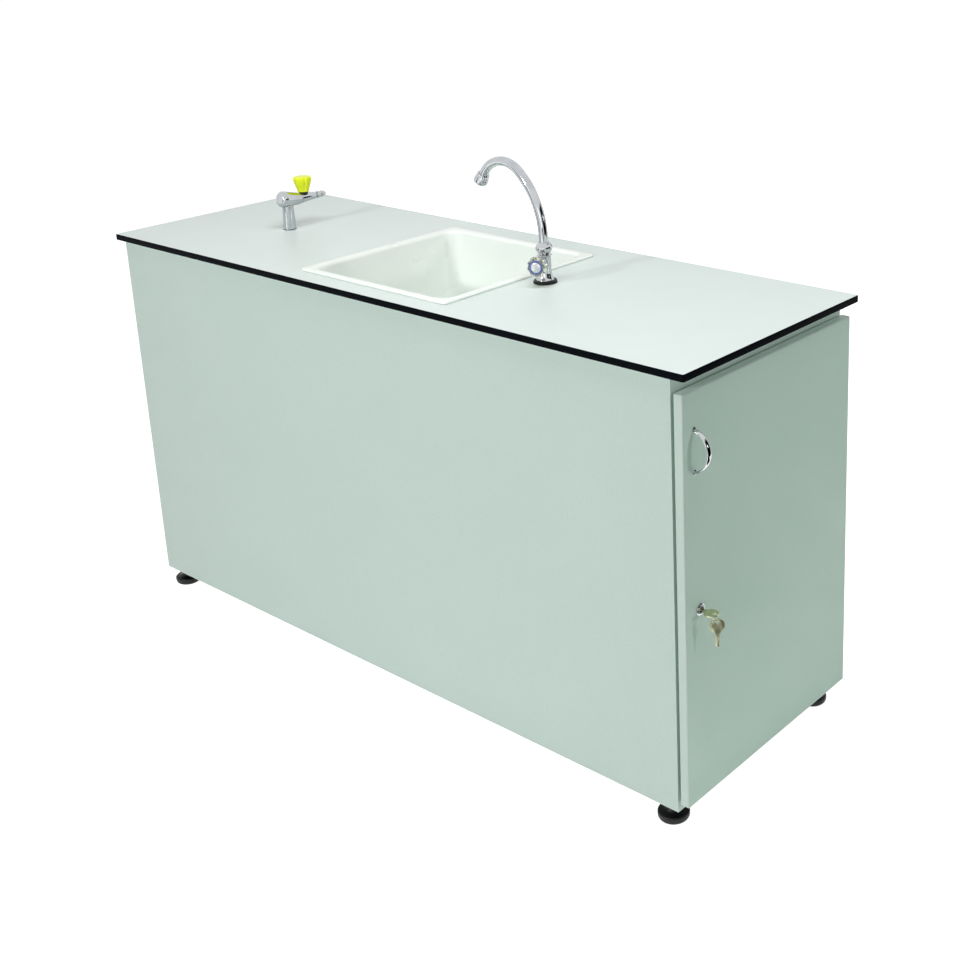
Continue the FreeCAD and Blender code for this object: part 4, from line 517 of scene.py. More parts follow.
def pick_rings(height, least, most):
    """Selects the points at a height that lie between two squares round the sink's middle."""
    def in_ring(co):
        out = max(abs(co.x - sink_middle.x), abs(co.y - sink_middle.y)) / MM
        return abs(co.z / MM - height) < LEVEL and least < out < most
    pick(in_ring)


def rounded_ring(half, corner, height):
    """Adds a ring of points to the open piece: a square with round corners."""
    bpy.ops.mesh.primitive_plane_add(size=2 * half * MM, location=(sink_middle.x, sink_middle.y, height * MM))
    bpy.ops.mesh.bevel(offset=corner * MM, segments=10, affect="VERTICES")
    bpy.ops.mesh.delete(type="ONLY_FACE")
    pick_rings(height, half - CORNER_GAP * corner - NEAR, half + NEAR)


def draw_ring(stations):
    """Extrudes the selected ring from station to station of (half width, height)."""
    for (half, height), (next_half, next_height) in zip(stations, stations[1:]):
        extrude((0, 0, (next_height - height) * MM))
        share = next_half / half
        bpy.ops.transform.resize(value=(share, share, 1), orient_type="GLOBAL",
                                 center_override=(sink_middle.x, sink_middle.y, next_height * MM))


nothing_selected()
bpy.ops.mesh.primitive_plane_add(size=1 * MM, location=(0, 0, 0))
sink = open_new("sink_moulding")
bpy.ops.mesh.delete(type="VERT")

rounded_ring(MOUTH_HALF + MOUTH_ROUND, MOUTH_CORNER + MOUTH_ROUND, RIM_TOP)
inside = arc(MOUTH_HALF + MOUTH_ROUND, RIM_TOP - MOUTH_ROUND, MOUTH_ROUND, 90, 180, 8)
wall_height = DEPTH - MOUTH_ROUND - FLOOR_ROUND
inside += [(MOUTH_HALF - DRAFT * share, RIM_TOP - MOUTH_ROUND - share * wall_height) for share in WALL_RINGS]
inside += arc(FLOOR_HALF - FLOOR_ROUND, FLOOR + FLOOR_ROUND, FLOOR_ROUND, 0, -90, 8)
inside += [(half, FLOOR) for half in FLOOR_RINGS]
draw_ring(inside)

rounded_ring(RIM_HALF - RIM_ROUND, RIM_CORNER - RIM_ROUND, RIM_TOP)
draw_ring(arc(RIM_HALF - RIM_ROUND, RIM_TOP - RIM_ROUND, RIM_ROUND, 90, 0, 6) + [(RIM_HALF, RIM_UNDER)])

rounded_ring(MOUTH_HALF + SKIN, MOUTH_CORNER + SKIN, RIM_UNDER)
outside = [(MOUTH_HALF + SKIN, RIM_UNDER)]
outside += arc(FLOOR_HALF + SKIN - FLOOR_ROUND, UNDER + FLOOR_ROUND, FLOOR_ROUND, 0, -90, 6)
draw_ring(outside)

# A square whose corners take up nearly all of its sides is a circle.
rounded_ring(WASTE_HOLE, WASTE_HOLE - 0.01, FLOOR)
draw_ring([(WASTE_HOLE, FLOOR), (WASTE_HOLE, UNDER)])

for height, most in ((RIM_TOP, RIM_HALF), (RIM_UNDER, RIM_HALF), (FLOOR, FLOOR_RINGS[-1]), (UNDER, RIM_HALF)):
    pick_rings(height, 0, most + NEAR)
    bpy.ops.mesh.fill()
close_up(sink, 0, angle=40)
belongs(sink, "cabinet", "sink_cream", "sink_bowl")

# %% [markdown]
# ## The water tap
# The pillar is one casting: a foot that flares out, a waist that rises in a hollow curve, and a neck. It is
# spun from its outline. A black ring covers its flange and sheds water from the gasket. A short boss on its
# side carries the bonnet, and a ball-shaped nut on the neck holds the spout, which can swing.

# %% Pillar, foot ring, side boss, bonnet and collar nut
tap_foot = Vector((tap_axis.x, tap_axis.y, TOP))
gasket_top = (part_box("tap_gaskets")[1].z - TOP) / MM
neck_top = (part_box("tap_body")[1].z - TOP) / MM
WAIST, NECK, NECK_BORE = 13.5, 12.0, 8.2
FLANGE, FLANGE_ROUND, FOOT_RING = 23.5, 1.6, 4.0
BEAD, BEAD_DROP = 1.6, 15.5     # a bead runs round the pillar this far below its top
ring_top = gasket_top + FOOT_RING

outline = [
    (NECK_BORE, ring_top), (WAIST + 5.0, ring_top), (WAIST + 5.0, ring_top + 1.0),
    (WAIST + 3.6, ring_top + 3.2), (WAIST + 1.7, ring_top + 8.0), (WAIST + 0.5, ring_top + 15.0),
    (WAIST, ring_top + 23.0), (WAIST, neck_top - 18.0)]
outline += arc(WAIST, neck_top - BEAD_DROP, BEAD, -75, 75, 5)
outline += [(NECK, neck_top - 13.0), (NECK, neck_top), (NECK_BORE, neck_top)]
pillar = turned("tap_pillar", outline, tap_foot, bevel_mm=0.5, steps=72)
belongs(pillar, "cabinet", "chrome", "tap_body")

outline = [(NECK_BORE, gasket_top), (FLANGE, gasket_top), (FLANGE, gasket_top + 2.0)]
outline += arc(FLANGE - FLANGE_ROUND, gasket_top + 2.0, FLANGE_ROUND, 0, 70, 4)
outline += [(WAIST + 5.5, ring_top), (NECK_BORE, ring_top)]
foot_ring = turned("tap_foot_ring", outline, tap_foot, bevel_mm=0.3, steps=72)
belongs(foot_ring, "cabinet", "chrome", finish=finishes["black_plastic"])

bonnet_middle = middle_of("tap_bonnet")
knob_foot = Vector((tap_axis.x, tap_axis.y, bonnet_middle.z))
knob_way = (bonnet_middle - knob_foot).normalized()
BOSS, BOSS_START, BONNET, BONNET_BORE, BONNET_START, BONNET_END = 12.5, 3.0, 11.0, 4.0, 14.5, 25.0
outline = [(0, BOSS_START), (BOSS, BOSS_START), (BOSS, BONNET_START), (0, BONNET_START)]
side_boss = turned("tap_side_boss", outline, knob_foot, knob_way, bevel_mm=0.8)
belongs(side_boss, "cabinet", "chrome")
outline = [
    (BONNET_BORE, BONNET_START), (BONNET, BONNET_START), (BONNET, BONNET_END - 4.5),
    (BONNET - 2.5, BONNET_END - 2.5), (BONNET - 2.5, BONNET_END), (BONNET_BORE, BONNET_END)]
bonnet = turned("tap_bonnet_dressed", outline, knob_foot, knob_way, steps=48)
belongs(bonnet, "cabinet", "chrome", "tap_bonnet")

collar_low, collar_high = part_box("tap_collar_nut")
BALL = (collar_high.x - collar_low.x) / 2 / MM
BALL_HEIGHT = (collar_high.z - collar_low.z) / MM
BALL_ROUND, SPOUT, CLEARANCE = 9.6, 9.5, 0.1
outline = [(NECK + CLEARANCE, 0), (BALL - 3.0, 0)]
outline += arc(BALL - BALL_ROUND, 9.0, BALL_ROUND, -50, 58, 12)
outline += [
    (SPOUT + 2.0, BALL_HEIGHT - 1.0), (SPOUT + 1.4, BALL_HEIGHT), (SPOUT + CLEARANCE, BALL_HEIGHT)]
collar_foot = Vector((tap_axis.x, tap_axis.y, collar_low.z))
collar = turned("spout_collar_nut", outline, collar_foot, bevel_mm=0.5, steps=72)
belongs(collar, "cabinet", "chrome", "tap_collar_nut")

# %% [markdown]
# ## The spout
# The spout is one drawn tube, bent on a former. A ring of points is extruded up the riser and then spun
# about the two bending centres, which is how the bender makes it. The wall is given by a solidify modifier.

# %% Riser, two bends, end and aerator
WALL = 1.2
RISE, END_RUN = 91.0, 8.0
LEAN, LEAN_RADIUS = 50.0, 170.0             # the first bend, in degrees, and its radius
OVERHANG, BEND_RADIUS = 58.0, 66.0          # how far the second bend goes past the level, and its radius


def round_about(centre, radius_mm, degrees):
    """The point on an upright circle about a centre, at an angle from the side away from the sink."""
    angle = math.radians(degrees)
    return centre + Vector((math.cos(angle), 0, math.sin(angle))) * radius_mm * MM


lean_centre = Vector((tap_axis.x - LEAN_RADIUS * MM, tap_axis.y, TOP + RISE * MM))
bend_centre = round_about(lean_centre, LEAN_RADIUS - BEND_RADIUS, LEAN)
end_start = round_about(bend_centre, BEND_RADIUS, 90 + OVERHANG)
end_way = (round_about(bend_centre, 1, 180 + OVERHANG) - bend_centre).normalized()
spout_foot = Vector((tap_axis.x, tap_axis.y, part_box("tap_spout")[0].z))

nothing_selected()
bpy.ops.mesh.primitive_circle_add(vertices=48, radius=SPOUT * MM, location=spout_foot)
fix_place()
spout = open_new("swan_neck_spout")
extrude((0, 0, TOP + RISE * MM - spout_foot.z))
bpy.ops.mesh.spin(steps=36, angle=math.radians(LEAN), center=lean_centre, axis=(0, 1, 0))
bpy.ops.mesh.spin(steps=48, angle=math.radians(90 - LEAN + OVERHANG), center=bend_centre, axis=(0, 1, 0))
extrude(end_way * END_RUN * MM)
close_up(spout, 0)
modify(spout, "SOLIDIFY", thickness=WALL * MM, offset=-1)
bpy.ops.object.shade_smooth_by_angle(angle=math.radians(40))
belongs(spout, "spout", "chrome", "tap_spout")

AERATOR, LENGTH, AERATOR_START = 14.5, 22.0, 1.0
outline = [
    (SPOUT + CLEARANCE, 0), (SPOUT + 2.2, 0), (AERATOR - 1.6, 2.0), (AERATOR - 1.2, LENGTH - 10.0),
    (AERATOR, LENGTH - 9.0), (AERATOR, LENGTH - 1.0), (AERATOR - 1.0, LENGTH),
    (AERATOR - 3.2, LENGTH), (AERATOR - 3.2, LENGTH - 3.0), (0, LENGTH - 3.0)]
aerator_foot = end_start + end_way * AERATOR_START * MM
aerator = turned("spout_aerator", outline, aerator_foot, end_way, steps=60)
belongs(aerator, "spout", "chrome", "tap_aerator")

# %% [markdown]
# ## The clear knob
# The water knob is turned from clear acrylic. Ten shallow finger grooves run along its side, and a ring
# with the water's colour sits in its front. The grooves are made by picking lines of points by their angle
# and drawing them in towards the axis, a little less on either side of each groove's middle. Solid acrylic
# bends what stands behind it, so the spindle inside shows through the knob much enlarged.

# %% The fluted knob, its index ring and its cap
ON_LINE = 0.2       # how far a picked point may be off its line, as a share of the way to the next


def draw_in(count, shares, low, high, inner):
    """Draws grooves along the open turned piece. The shares say how near the axis each line of points goes,
    from a groove's middle outwards, and a groove has twice as many lines as shares."""
    pitch = TURN / count
    for lines_off, share in enumerate(shares):
        def in_line(co):
            if not low * MM < co.z < high * MM or math.hypot(co.x, co.y) < inner * MM:
                return False
            off = abs((math.atan2(co.y, co.x) / pitch) % 1.0 - 0.5) * 2 * len(shares)
            return abs(off - lines_off) < ON_LINE
        pick(in_line)
        bpy.ops.transform.resize(value=(share, share, 1), center_override=(0, 0, 0), orient_type="GLOBAL")


KNOB, KNOB_BACK, KNOB_LENGTH, KNOB_GAP = 21.5, 15.0, 25.0, 1.0
back = BONNET_END + KNOB_GAP
face = back + KNOB_LENGTH
INDEX, INDEX_RING, INDEX_SINK, SPINDLE = 14.5, 4.0, 1.6, 3.6
GROOVES, GROOVE_SHARES = 10, (0.88, 0.905, 0.96, 0.99)
outline = [
    (SPINDLE, back), (KNOB_BACK - 4, back), (KNOB_BACK - 1, back + 1.2),
    (KNOB_BACK + 1.4, back + 3.4), (KNOB - 2.6, back + 7.4), (KNOB - 0.7, back + 11.0),
    (KNOB, back + 14.2), (KNOB - 0.2, back + 17.6), (KNOB - 1.4, face - 4.0),
    (KNOB - 3.2, face - 1.4), (INDEX + 2.2, face), (INDEX + 0.1, face),
    (INDEX + 0.1, face - INDEX_SINK), (SPINDLE, face - INDEX_SINK)]
knob = spin_outline("clear_knob", outline, GROOVES * 2 * len(GROOVE_SHARES))
draw_in(GROOVES, GROOVE_SHARES, back + 1.0, face - 0.6, INDEX + 1.0)
close_up(knob, 0, angle=50)
modify(knob, "SUBSURF", levels=1)
set_down(knob, knob_foot, knob_way)
belongs(knob, "water_knob", "clear_acrylic", "tap_knob")

ring_inner = INDEX - INDEX_RING
outline = [
    (ring_inner, face - INDEX_SINK), (INDEX, face - INDEX_SINK), (INDEX, face - 0.1),
    (INDEX - 0.8, face + 0.4), (ring_inner, face + 0.4)]
index_ring = turned("water_index_ring", outline, knob_foot, knob_way, bevel_mm=0.15)
belongs(index_ring, "water_knob", "blue_plastic", "tap_index_ring")
outline = [
    (0, face - INDEX_SINK), (ring_inner - 0.05, face - INDEX_SINK),
    (ring_inner - 0.05, face + 0.5), (ring_inner - 2.5, face + 1.0),
    (ring_inner - 6.0, face + 1.35), (0, face + 1.5)]
index_cap = turned("chrome_index_cap", outline, knob_foot, knob_way, bevel_mm=0.2)
belongs(index_cap, "water_knob", "satin_chrome", "tap_index_cap")

# %% [markdown]
# ## The gas tap
# A short chromed column carries a thick horizontal body with a rounded nose. Behind the nose sits the
# valve, with the knob standing on it, and a serrated nozzle for the hose leaves it to the rear. The knob
# opens like a flower towards its top, and yellow is the colour that marks gas in a laboratory.

# %% Column, body, valve, collar and knob
COLUMN_FOOT, COLUMN_TOP, GAS_GASKET, GAS_AXIS = 14.5, 12.5, 1.2, 67.0
gas_centre = gas_foot + Vector((0, 0, GAS_AXIS * MM))
outline = [
    (0, GAS_GASKET), (COLUMN_FOOT, GAS_GASKET), (COLUMN_FOOT - 0.1, GAS_GASKET + 4.0),
    (COLUMN_TOP + 0.3, GAS_AXIS - 12.0), (COLUMN_TOP + 0.1, GAS_AXIS - 4.0), (0, GAS_AXIS - 4.0)]
gas_column = turned("gas_column", outline, gas_foot, bevel_mm=0.5, steps=72)
belongs(gas_column, "cabinet", "chrome", "gas_body")

GAS_BODY, GAS_TAIL, GAS_LENGTH, GAS_BACK, NOSE_ROUND = 19.3, 12.9, 58.5, 36.0, 10.0
GAS_DIP = math.radians(7.5)
gas_way = Vector((0, math.cos(GAS_DIP), -math.sin(GAS_DIP)))
gas_nose = gas_centre + Vector((0, GAS_BACK * MM, 0)) - gas_way * GAS_LENGTH * MM
taper = (GAS_BODY - GAS_TAIL) / (GAS_LENGTH - NOSE_ROUND)
outline = [(0, 0), (4.0, 0.05), (GAS_BODY - NOSE_ROUND, 0.3)]
outline += arc(GAS_BODY - NOSE_ROUND, NOSE_ROUND, NOSE_ROUND - 0.15, -80, 0, 9)
outline += [(GAS_BODY - taper * (along - NOSE_ROUND) + 0.25, along)
            for along in (16, 26, 36, 46, GAS_LENGTH - 2.6)]
outline += [
    (GAS_TAIL - 0.5, GAS_LENGTH - 1.6), (GAS_TAIL - 1.6, GAS_LENGTH - 1.4), (0, GAS_LENGTH - 1.4)]
gas_barrel = turned("gas_body_drop", outline, gas_nose, gas_way, bevel_mm=0, steps=80)
belongs(gas_barrel, "cabinet", "chrome")

VALVE, VALVE_NECK, VALVE_END = 11.7, 9.0, 76.0
outline = [
    (0, GAS_BACK - 1.5), (VALVE - 0.8, GAS_BACK - 1.5), (VALVE - 0.8, GAS_BACK + 1.6),
    (VALVE, GAS_BACK + 2.0), (VALVE_NECK, VALVE_END - 8.0), (VALVE_NECK, VALVE_END), (0, VALVE_END)]
gas_valve = turned("gas_valve_barrel", outline, gas_centre, (0, 1, 0), bevel_mm=0.3)
belongs(gas_valve, "cabinet", "chrome", "gas_valve")

stem_foot = Vector((gas_knob_middle.x, gas_knob_middle.y, gas_centre.z))
COLLAR, COLLAR_TOP = 10.4, 13.6
outline = [
    (0, 6.0), (COLLAR - 2.0, 6.0), (COLLAR - 2.0, 9.0), (COLLAR, 9.0), (COLLAR, COLLAR_TOP), (4, COLLAR_TOP)]
gas_collar = turned("gas_stem_collar", outline, stem_foot)
belongs(gas_collar, "cabinet", "black_plastic", "gas_collar")

PETAL_FOOT, PETAL_TOP, PETAL_HEIGHT, PETAL_GAP = 13.5, 21.5, 36.0, 0.8
PETALS, PETAL_SHARES, STEM_BORE = 9, (0.87, 0.9, 0.96, 0.99), 3.7
low = COLLAR_TOP + PETAL_GAP
high = low + PETAL_HEIGHT
outline = [
    (STEM_BORE, low), (PETAL_FOOT - 1.2, low), (PETAL_FOOT, low + 1.2), (PETAL_FOOT + 0.5, low + 5.0),
    (PETAL_FOOT + 2.4, low + 11.0), (PETAL_FOOT + 4.7, low + 18.0), (PETAL_TOP - 1.0, low + 25.0),
    (PETAL_TOP, high - 6.0), (PETAL_TOP, high - 3.2), (PETAL_TOP - 0.9, high - 1.2),
    (PETAL_TOP - 2.8, high - 0.2), (PETAL_TOP - 5.0, high), (0, high)]
gas_knob = spin_outline("yellow_gas_knob", outline, PETALS * 2 * len(PETAL_SHARES))
draw_in(PETALS, PETAL_SHARES, low + 2.0, high - 0.1, PETAL_FOOT - 3.0)
close_up(gas_knob, 0, angle=60)
modify(gas_knob, "SUBSURF", levels=1)
set_down(gas_knob, stem_foot)
belongs(gas_knob, "gas_knob", "yellow_plastic", "gas_knob")

# %% [markdown]
# ## The handle
# The handle is a bow of flat section, broad where the fingers lie and slim at its feet. An oval ring of
# points is turned about the bow's centre in small steps, and after each step its width is drawn out or in.
# Two round pads spread its load on the door.

# %% Bow and pads
DOOR_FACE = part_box("door_board")[1].x
PITCH, REACH, GAUGE, MID_WIDTH, END_WIDTH, BOW_STEPS = 78.0, 34.0, 4.6, 11.5, 9.0, 36
handle_middle = middle_of("handle_bow")
rise = REACH - GAUGE / 2
bow_radius = ((PITCH / 2) ** 2 + rise ** 2) / (2 * rise)
sweep = math.asin(PITCH / 2 / bow_radius)
bow_centre = Vector((DOOR_FACE + (rise - bow_radius) * MM, handle_middle.y, handle_middle.z))
bow_start = bow_centre + Vector((math.cos(sweep), 0, -math.sin(sweep))) * bow_radius * MM


def bow_width(step):
    """The bow's width after so many of its steps."""
    return END_WIDTH + (MID_WIDTH - END_WIDTH) * math.cos((step / BOW_STEPS - 0.5) * math.pi)


nothing_selected()
bpy.ops.mesh.primitive_circle_add(vertices=28, radius=GAUGE / 2 * MM, fill_type="NGON", location=(0, 0, 0))
handle = open_new("bow_handle")
bpy.ops.transform.resize(value=(1, bow_width(0) / GAUGE, 1))
bpy.ops.transform.rotate(value=-sweep, orient_axis="Y", center_override=(0, 0, 0))
bpy.ops.transform.translate(value=bow_start)
for step in range(BOW_STEPS):
    bpy.ops.mesh.spin(steps=1, angle=2 * sweep / BOW_STEPS, center=bow_centre, axis=(0, 1, 0))
    share = bow_width(step + 1) / bow_width(step)
    bpy.ops.transform.resize(value=(1, share, 1), center_override=bow_centre, orient_type="GLOBAL")
close_up(handle, 0, angle=50)
belongs(handle, "door", "chrome", "handle_bow")

PAD, PAD_HEIGHT = 5.2, 1.8
outline = [(0, 0), (PAD, 0), (PAD, PAD_HEIGHT - 0.8), (PAD - 1.4, PAD_HEIGHT), (0, PAD_HEIGHT)]
for side, name in ((-1, "handle_pad_low"), (1, "handle_pad_high")):
    pad_foot = Vector((DOOR_FACE, handle_middle.y, handle_middle.z + side * PITCH / 2 * MM))
    pad = turned(name, outline, pad_foot, (1, 0, 0), bevel_mm=0.3, steps=40)
    belongs(pad, "door", "chrome")

# %% [markdown]
# ## The lock and its keys
# A cam lock shows a round flange with a plug inside, and the plug turns with the key. The keys are stamped
# from flat strip: a round bow with a hole for the ring, and a blade with bites. The bow is a disc, the
# blade is a box joined to it by a boolean, and round tools cut out the hole and the bites, as the press
# does. One key stands in the lock and its twin hangs from the ring.

# %% Barrel and flange, two keys and the ring
lock_middle = middle_of("lock_barrel")
lock_face = Vector((DOOR_FACE, lock_middle.y, lock_middle.z))
LOCK_FLANGE, LOCK_FRONT, PLUG, BARREL, BARREL_LENGTH = 11.5, 3.0, 6.4, 9.0, 26.0
outline = [
    (PLUG + CLEARANCE, -BARREL_LENGTH), (BARREL, -BARREL_LENGTH), (BARREL, 0), (LOCK_FLANGE, 0),
    (LOCK_FLANGE, LOCK_FRONT - 1.3), (LOCK_FLANGE - 0.9, LOCK_FRONT - 0.5), (LOCK_FLANGE - 2.6, LOCK_FRONT),
    (PLUG + 0.5, LOCK_FRONT), (PLUG + CLEARANCE, LOCK_FRONT - 0.4)]
barrel = turned("lock_barrel_dressed", outline, lock_face, (1, 0, 0), bevel_mm=0.2)
belongs(barrel, "door", "chrome", "lock_barrel")

BOW, KEY_GAUGE, BLADE, STAND_OFF = 13.5, 2.0, 7.0, 25.0
SHOULDER, SHOULDER_HALF = 2.5, 0.8 * BLADE      # the stop between bow and blade, along and across the key
HOLE, HOLE_EDGE, PUNCH_LENGTH = 3.4, 3.2, 3 * KEY_GAUGE
BITES, BITE_RADIUS = ((3.5, 1.5), (7.7, 1.0), (11.9, 1.6)), 1.7     # each one's place from the tip, depth
hole_along = BOW - HOLE_EDGE - HOLE


def flat_key(name, blade_length):
    """A flat key in the XY plane: its bow at the origin, its blade along -X."""
    key = disc(BOW, KEY_GAUGE, (0, 0, 0), 72)
    key.name = name
    half = KEY_GAUGE / 2
    tip = -BOW - blade_length
    combine(key, slab((tip, -BLADE / 2, -half), (0, BLADE / 2, half)), "UNION")
    combine(key, slab((-BOW - SHOULDER, -SHOULDER_HALF, -half), (0, SHOULDER_HALF, half)), "UNION")
    combine(key, disc(HOLE, PUNCH_LENGTH, (hole_along, 0, 0)), "DIFFERENCE")
    for along, depth in BITES:
        punch = disc(BITE_RADIUS, PUNCH_LENGTH, (tip + along, BLADE / 2 + BITE_RADIUS - depth, 0), 24)
        combine(key, punch, "DIFFERENCE")
    bpy.ops.object.mode_set(mode="EDIT")
    close_up(key, 0.25, angle=40)
    return key


key = flat_key("key_in_lock", 22.0)
set_down(key, lock_face + Vector((STAND_OFF, 0, 0)) * MM)
belongs(key, "lock", "key_steel", "key")

ring_centre = middle_of("key_ring")
RING, WIRE = 6.5, 0.7
nothing_selected()
bpy.ops.mesh.primitive_circle_add(vertices=14, radius=WIRE * MM, location=(RING * MM, 0, 0))
split_ring = open_new("key_ring_wire")
bpy.ops.transform.rotate(value=TURN / 4, orient_axis="X", center_override=(RING * MM, 0, 0))
bpy.ops.mesh.spin(steps=64, angle=TURN, center=(0, 0, 0), axis=(0, 0, 1))
close_up(split_ring, 0, angle=60)
set_down(split_ring, ring_centre, (0, 1, 0))
belongs(split_ring, "lock", "key_steel", "key_ring")

SPARE_TURN, RING_PLAY = 40.0, 0.4
spare = flat_key("spare_key_hanging", 27.0)
bow_drop = Vector((0, 0, -(RING + HOLE - WIRE - RING_PLAY + hole_along))) * MM
spare.rotation_euler = (0, math.radians(-90), math.radians(-SPARE_TURN))
spare.location = ring_centre + bow_drop
fix_place()
belongs(spare, "spare_key", "key_steel", "spare_key")

# %% [markdown]
# ## The levelling feet
# Each foot is one moulding in black nylon: a broad pad with a rounded rim, a hollow curve up to its neck,
# and the stem above, which screws into the cupboard. It is turned once, and three copies with their own
# meshes stand under the other corners.

# %% Four feet
PAD_RADIUS, PAD_ROUND, PAD_TALL, PAD_SHOULDER = 30.5, 9.0, 17.0, 3.0
FOOT_NECK, NECK_TOP, STEM, STEM_TOP = 12.5, 36.6, 5.0, 78.0
outline = [(0, 0), (PAD_RADIUS - PAD_ROUND, 0)]
outline += arc(PAD_RADIUS - PAD_ROUND, PAD_ROUND, PAD_ROUND, -80, 0, 8)
outline += arc(PAD_RADIUS - PAD_SHOULDER, PAD_TALL - PAD_SHOULDER, PAD_SHOULDER, 0, 80, 5)
outline += [
    (FOOT_NECK + 9.0, PAD_TALL + 0.9), (FOOT_NECK + 4.6, PAD_TALL + 2.6), (FOOT_NECK + 1.4, PAD_TALL + 5.4),
    (FOOT_NECK, PAD_TALL + 9.0), (FOOT_NECK, NECK_TOP - 0.6), (FOOT_NECK - 0.6, NECK_TOP),
    (STEM, NECK_TOP), (STEM, STEM_TOP - 1.0), (STEM - 1.0, STEM_TOP), (0, STEM_TOP)]
first_foot = turned("levelling_foot_front_left", outline, (0, 0, 0), bevel_mm=0.3, steps=72)
feet = {"front_left": first_foot}
for corner in ("front_right", "back_left", "back_right"):
    foot = first_foot.copy()
    foot.data = first_foot.data.copy()
    foot.name = "levelling_foot_" + corner
    bpy.context.collection.objects.link(foot)
    feet[corner] = foot
for corner, foot in feet.items():
    middle = middle_of("foot_" + corner)
    set_down(foot, Vector((middle.x, middle.y, 0)))
    belongs(foot, "foot_" + corner, "black_plastic", "foot_" + corner)

# %% [markdown]
# ## The camera
# The view is from the door end, a little above the worktop, from about three metres away. The camera looks
# down by 16.5 degrees. Its lens is shifted, which moves the object within the frame and leaves its
# perspective alone.

# %% Camera
CAMERA_PLACE = Vector((2139.6, -1964.1, 1676.2)) * MM
TILT, ROLL, PAN = 73.498, 0.950, 37.780     # degrees about X, Y and Z
camera_data = bpy.data.cameras.new("product_camera")
camera_data.lens = 52.298
camera_data.sensor_width = 36.0
camera_data.shift_x = -0.2084
camera_data.shift_y = -0.1964
camera = bpy.data.objects.new("product_camera", camera_data)
camera.location = CAMERA_PLACE
camera.rotation_euler = [math.radians(angle) for angle in (TILT, ROLL, PAN)]
bpy.context.scene.collection.objects.link(camera)
bpy.context.scene.camera = camera

# %% [markdown]
# ## Floor and backdrop
# The object stands on a plain white floor in a white room, as in a catalogue. The world is pure white where
# the camera looks past the object, in the chrome's reflections and through the clear knob, while the light
# that it sheds on the object is much weaker. The floor works in the same way: it glows where the camera or a
# mirror sees it, which leaves it white under a soft shadow, and otherwise it only throws back the light that
# falls on it.

# %% Floor and world
FLOOR_SIZE, FLOOR_WHITE, FLOOR_GLOW, ROOM_LIGHT = 40, (0.8, 0.8, 0.8, 1), 0.92, 0.16
PURE_WHITE = (1, 1, 1, 1)


def either(owner, first, second):
    """1 for a ray that is of one kind or the other."""
    return add_node(owner, "ShaderNodeMath", {0: first, 1: second}, operation="MAXIMUM").outputs[0]


nothing_selected()
bpy.ops.mesh.primitive_plane_add(size=FLOOR_SIZE, location=(0, 0, 0))
floor = bpy.context.object
floor.name = "studio_floor"
floor_finish = bpy.data.materials.new("white_studio_floor")
floor_finish.use_nodes = True
floor_nodes = floor_finish.node_tree.nodes
floor_nodes.remove(floor_nodes["Principled BSDF"])
matt = add_node(floor_finish, "ShaderNodeBsdfDiffuse", {"Color": FLOOR_WHITE}).outputs[0]
glow = add_node(floor_finish, "ShaderNodeEmission", {"Color": PURE_WHITE, "Strength": FLOOR_GLOW}).outputs[0]
glowing = add_node(floor_finish, "ShaderNodeAddShader", {0: matt, 1: glow}).outputs[0]
ray = add_node(floor_finish, "ShaderNodeLightPath").outputs
seen = either(floor_finish, ray["Is Camera Ray"], ray["Is Glossy Ray"])
shown = add_node(floor_finish, "ShaderNodeMixShader", {0: seen, 1: matt, 2: glowing}).outputs[0]
join(floor_finish, shown, floor_nodes["Material Output"].inputs["Surface"])
floor.data.materials.append(floor_finish)

world = bpy.data.worlds.new("white_studio")
world.use_nodes = True
bpy.context.scene.world = world
ray = add_node(world, "ShaderNodeLightPath").outputs
seen = either(world, either(world, ray["Is Camera Ray"], ray["Is Glossy Ray"]), ray["Is Transmission Ray"])
backdrop = world.node_tree.nodes["Background"]
backdrop.inputs["Color"].default_value = PURE_WHITE
join(world, spread(world, seen, ROOM_LIGHT, 1.0, least=0.0, most=1.0), backdrop.inputs["Strength"])
bpy.context.scene.view_settings.view_transform = "Standard"

# %% [markdown]
# ## Lamps
# Five lamps do the modelling. A broad one hangs over the worktop, and a broad weak one stands behind on the
# left. Chrome mirrors neither. A small strong one stands at the front left and draws the shadows, a weak
# fill stands at the front right, and a small one lights the door.

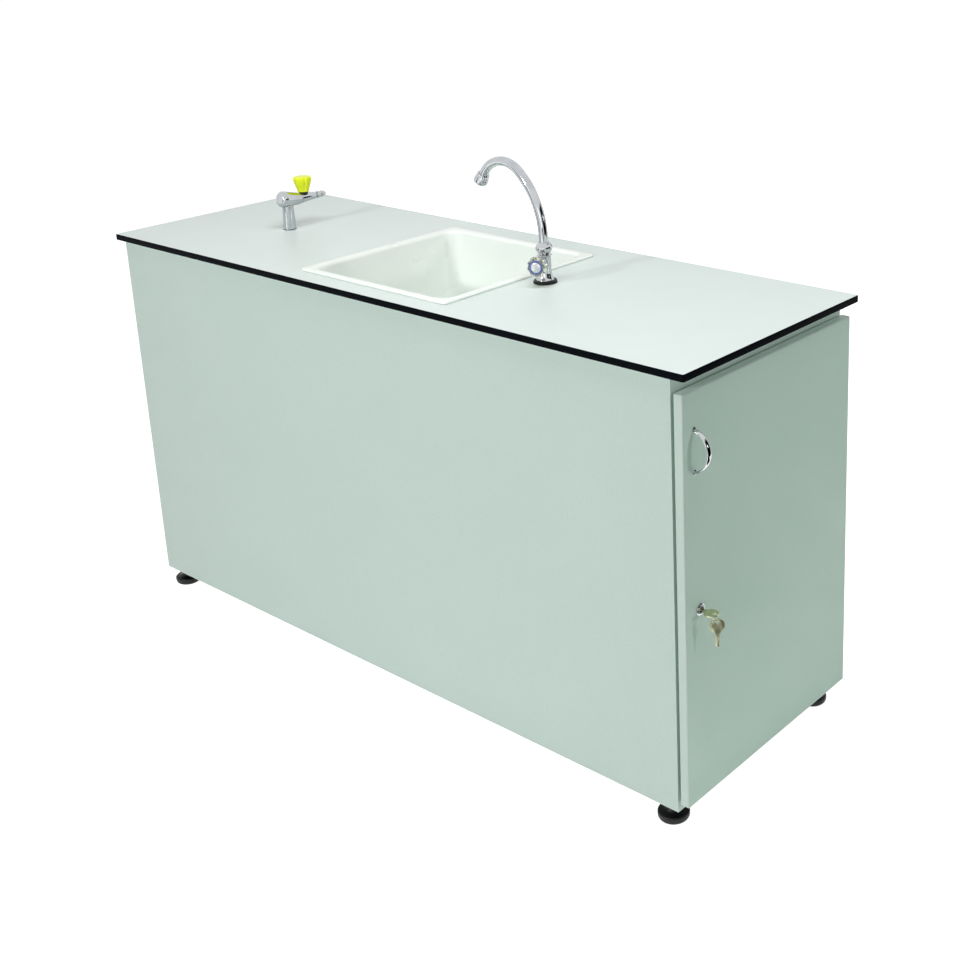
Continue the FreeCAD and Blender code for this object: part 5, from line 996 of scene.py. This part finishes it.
# %% Five lamps
LAMPS = (   # name, place and aim in metres, width and height in metres, watts, whether chrome mirrors it
    ("over_the_worktop", (0.8, -0.5, 3.6), (0.4, 0, 0.9), (2.4, 1.6), 62, False),
    ("front_key", (-0.4, -3.6, 2.0), (0.9, 0, 0.6), (0.2, 0.2), 52, True),
    ("front_right_fill", (2.6, -3.6, 1.3), (0.8, 0, 0.6), (1.5, 1.5), 8, True),
    ("door_end", (3.8, 1.1, 1.6), (0.8, 0, 0.6), (0.3, 0.3), 19, True),
    ("back_left_fill", (-3.2, 3.2, 1.7), (-0.4, 0, 0.6), (2.0, 2.0), 26, False),
)
for name, place, aim, size, watts, mirrored in LAMPS:
    lamp_data = bpy.data.lights.new(name, "AREA")
    lamp_data.shape = "RECTANGLE"
    lamp_data.size, lamp_data.size_y = size
    lamp_data.energy = watts
    lamp = bpy.data.objects.new(name, lamp_data)
    lamp.location = place
    lamp.rotation_euler = (Vector(aim) - Vector(place)).to_track_quat("-Z", "Y").to_euler()
    lamp.visible_glossy = mirrored
    bpy.context.scene.collection.objects.link(lamp)

# %% [markdown]
# ## Black cards
# Chrome shows only what stands round it, and in a white room it would look like white plastic. A product
# photographer stands black cards round it, out of the picture, and their reflections draw its edges. These
# cards are seen in reflections alone: the camera doesn't see them, and they cast no shadow.

# %% Cards that only mirrors see
CARDS = (   # name, place in metres, degrees about X, Y and Z, width and height in metres
    ("card_beyond_the_door", (2.1, 0.55, 0.95), (90, 0, 106.6), (2.9, 1.9)),
    ("card_below_the_camera", (1.6, -1.5, 0.45), (90, 0, 45), (0.7, 0.9)),
    ("card_left_of_the_front", (-0.9, -1.7, 0.6), (90, 0, -20), (0.5, 0.9)),
    ("card_behind_the_worktop", (-0.6, 1.5, 0.8), (90, 0, 20), (1.2, 1.0)),
    ("card_on_the_floor", (1.9, -0.2, 0.01), (0, 0, 0), (1.3, 1.6)),
)
black_card = bpy.data.materials.new("black_card")
black_card.use_nodes = True
card_shader = black_card.node_tree.nodes["Principled BSDF"]
card_shader.inputs["Base Color"].default_value = (0, 0, 0, 1)
card_shader.inputs["Specular IOR Level"].default_value = 0
for name, place, turn, size in CARDS:
    nothing_selected()
    bpy.ops.mesh.primitive_plane_add(size=1, location=place, rotation=[math.radians(angle) for angle in turn])
    card = bpy.context.object
    card.name = name
    card.scale = (*size, 1)
    for kind in ("camera", "diffuse", "transmission", "shadow"):
        setattr(card, "visible_" + kind, False)
    card.data.materials.append(black_card)
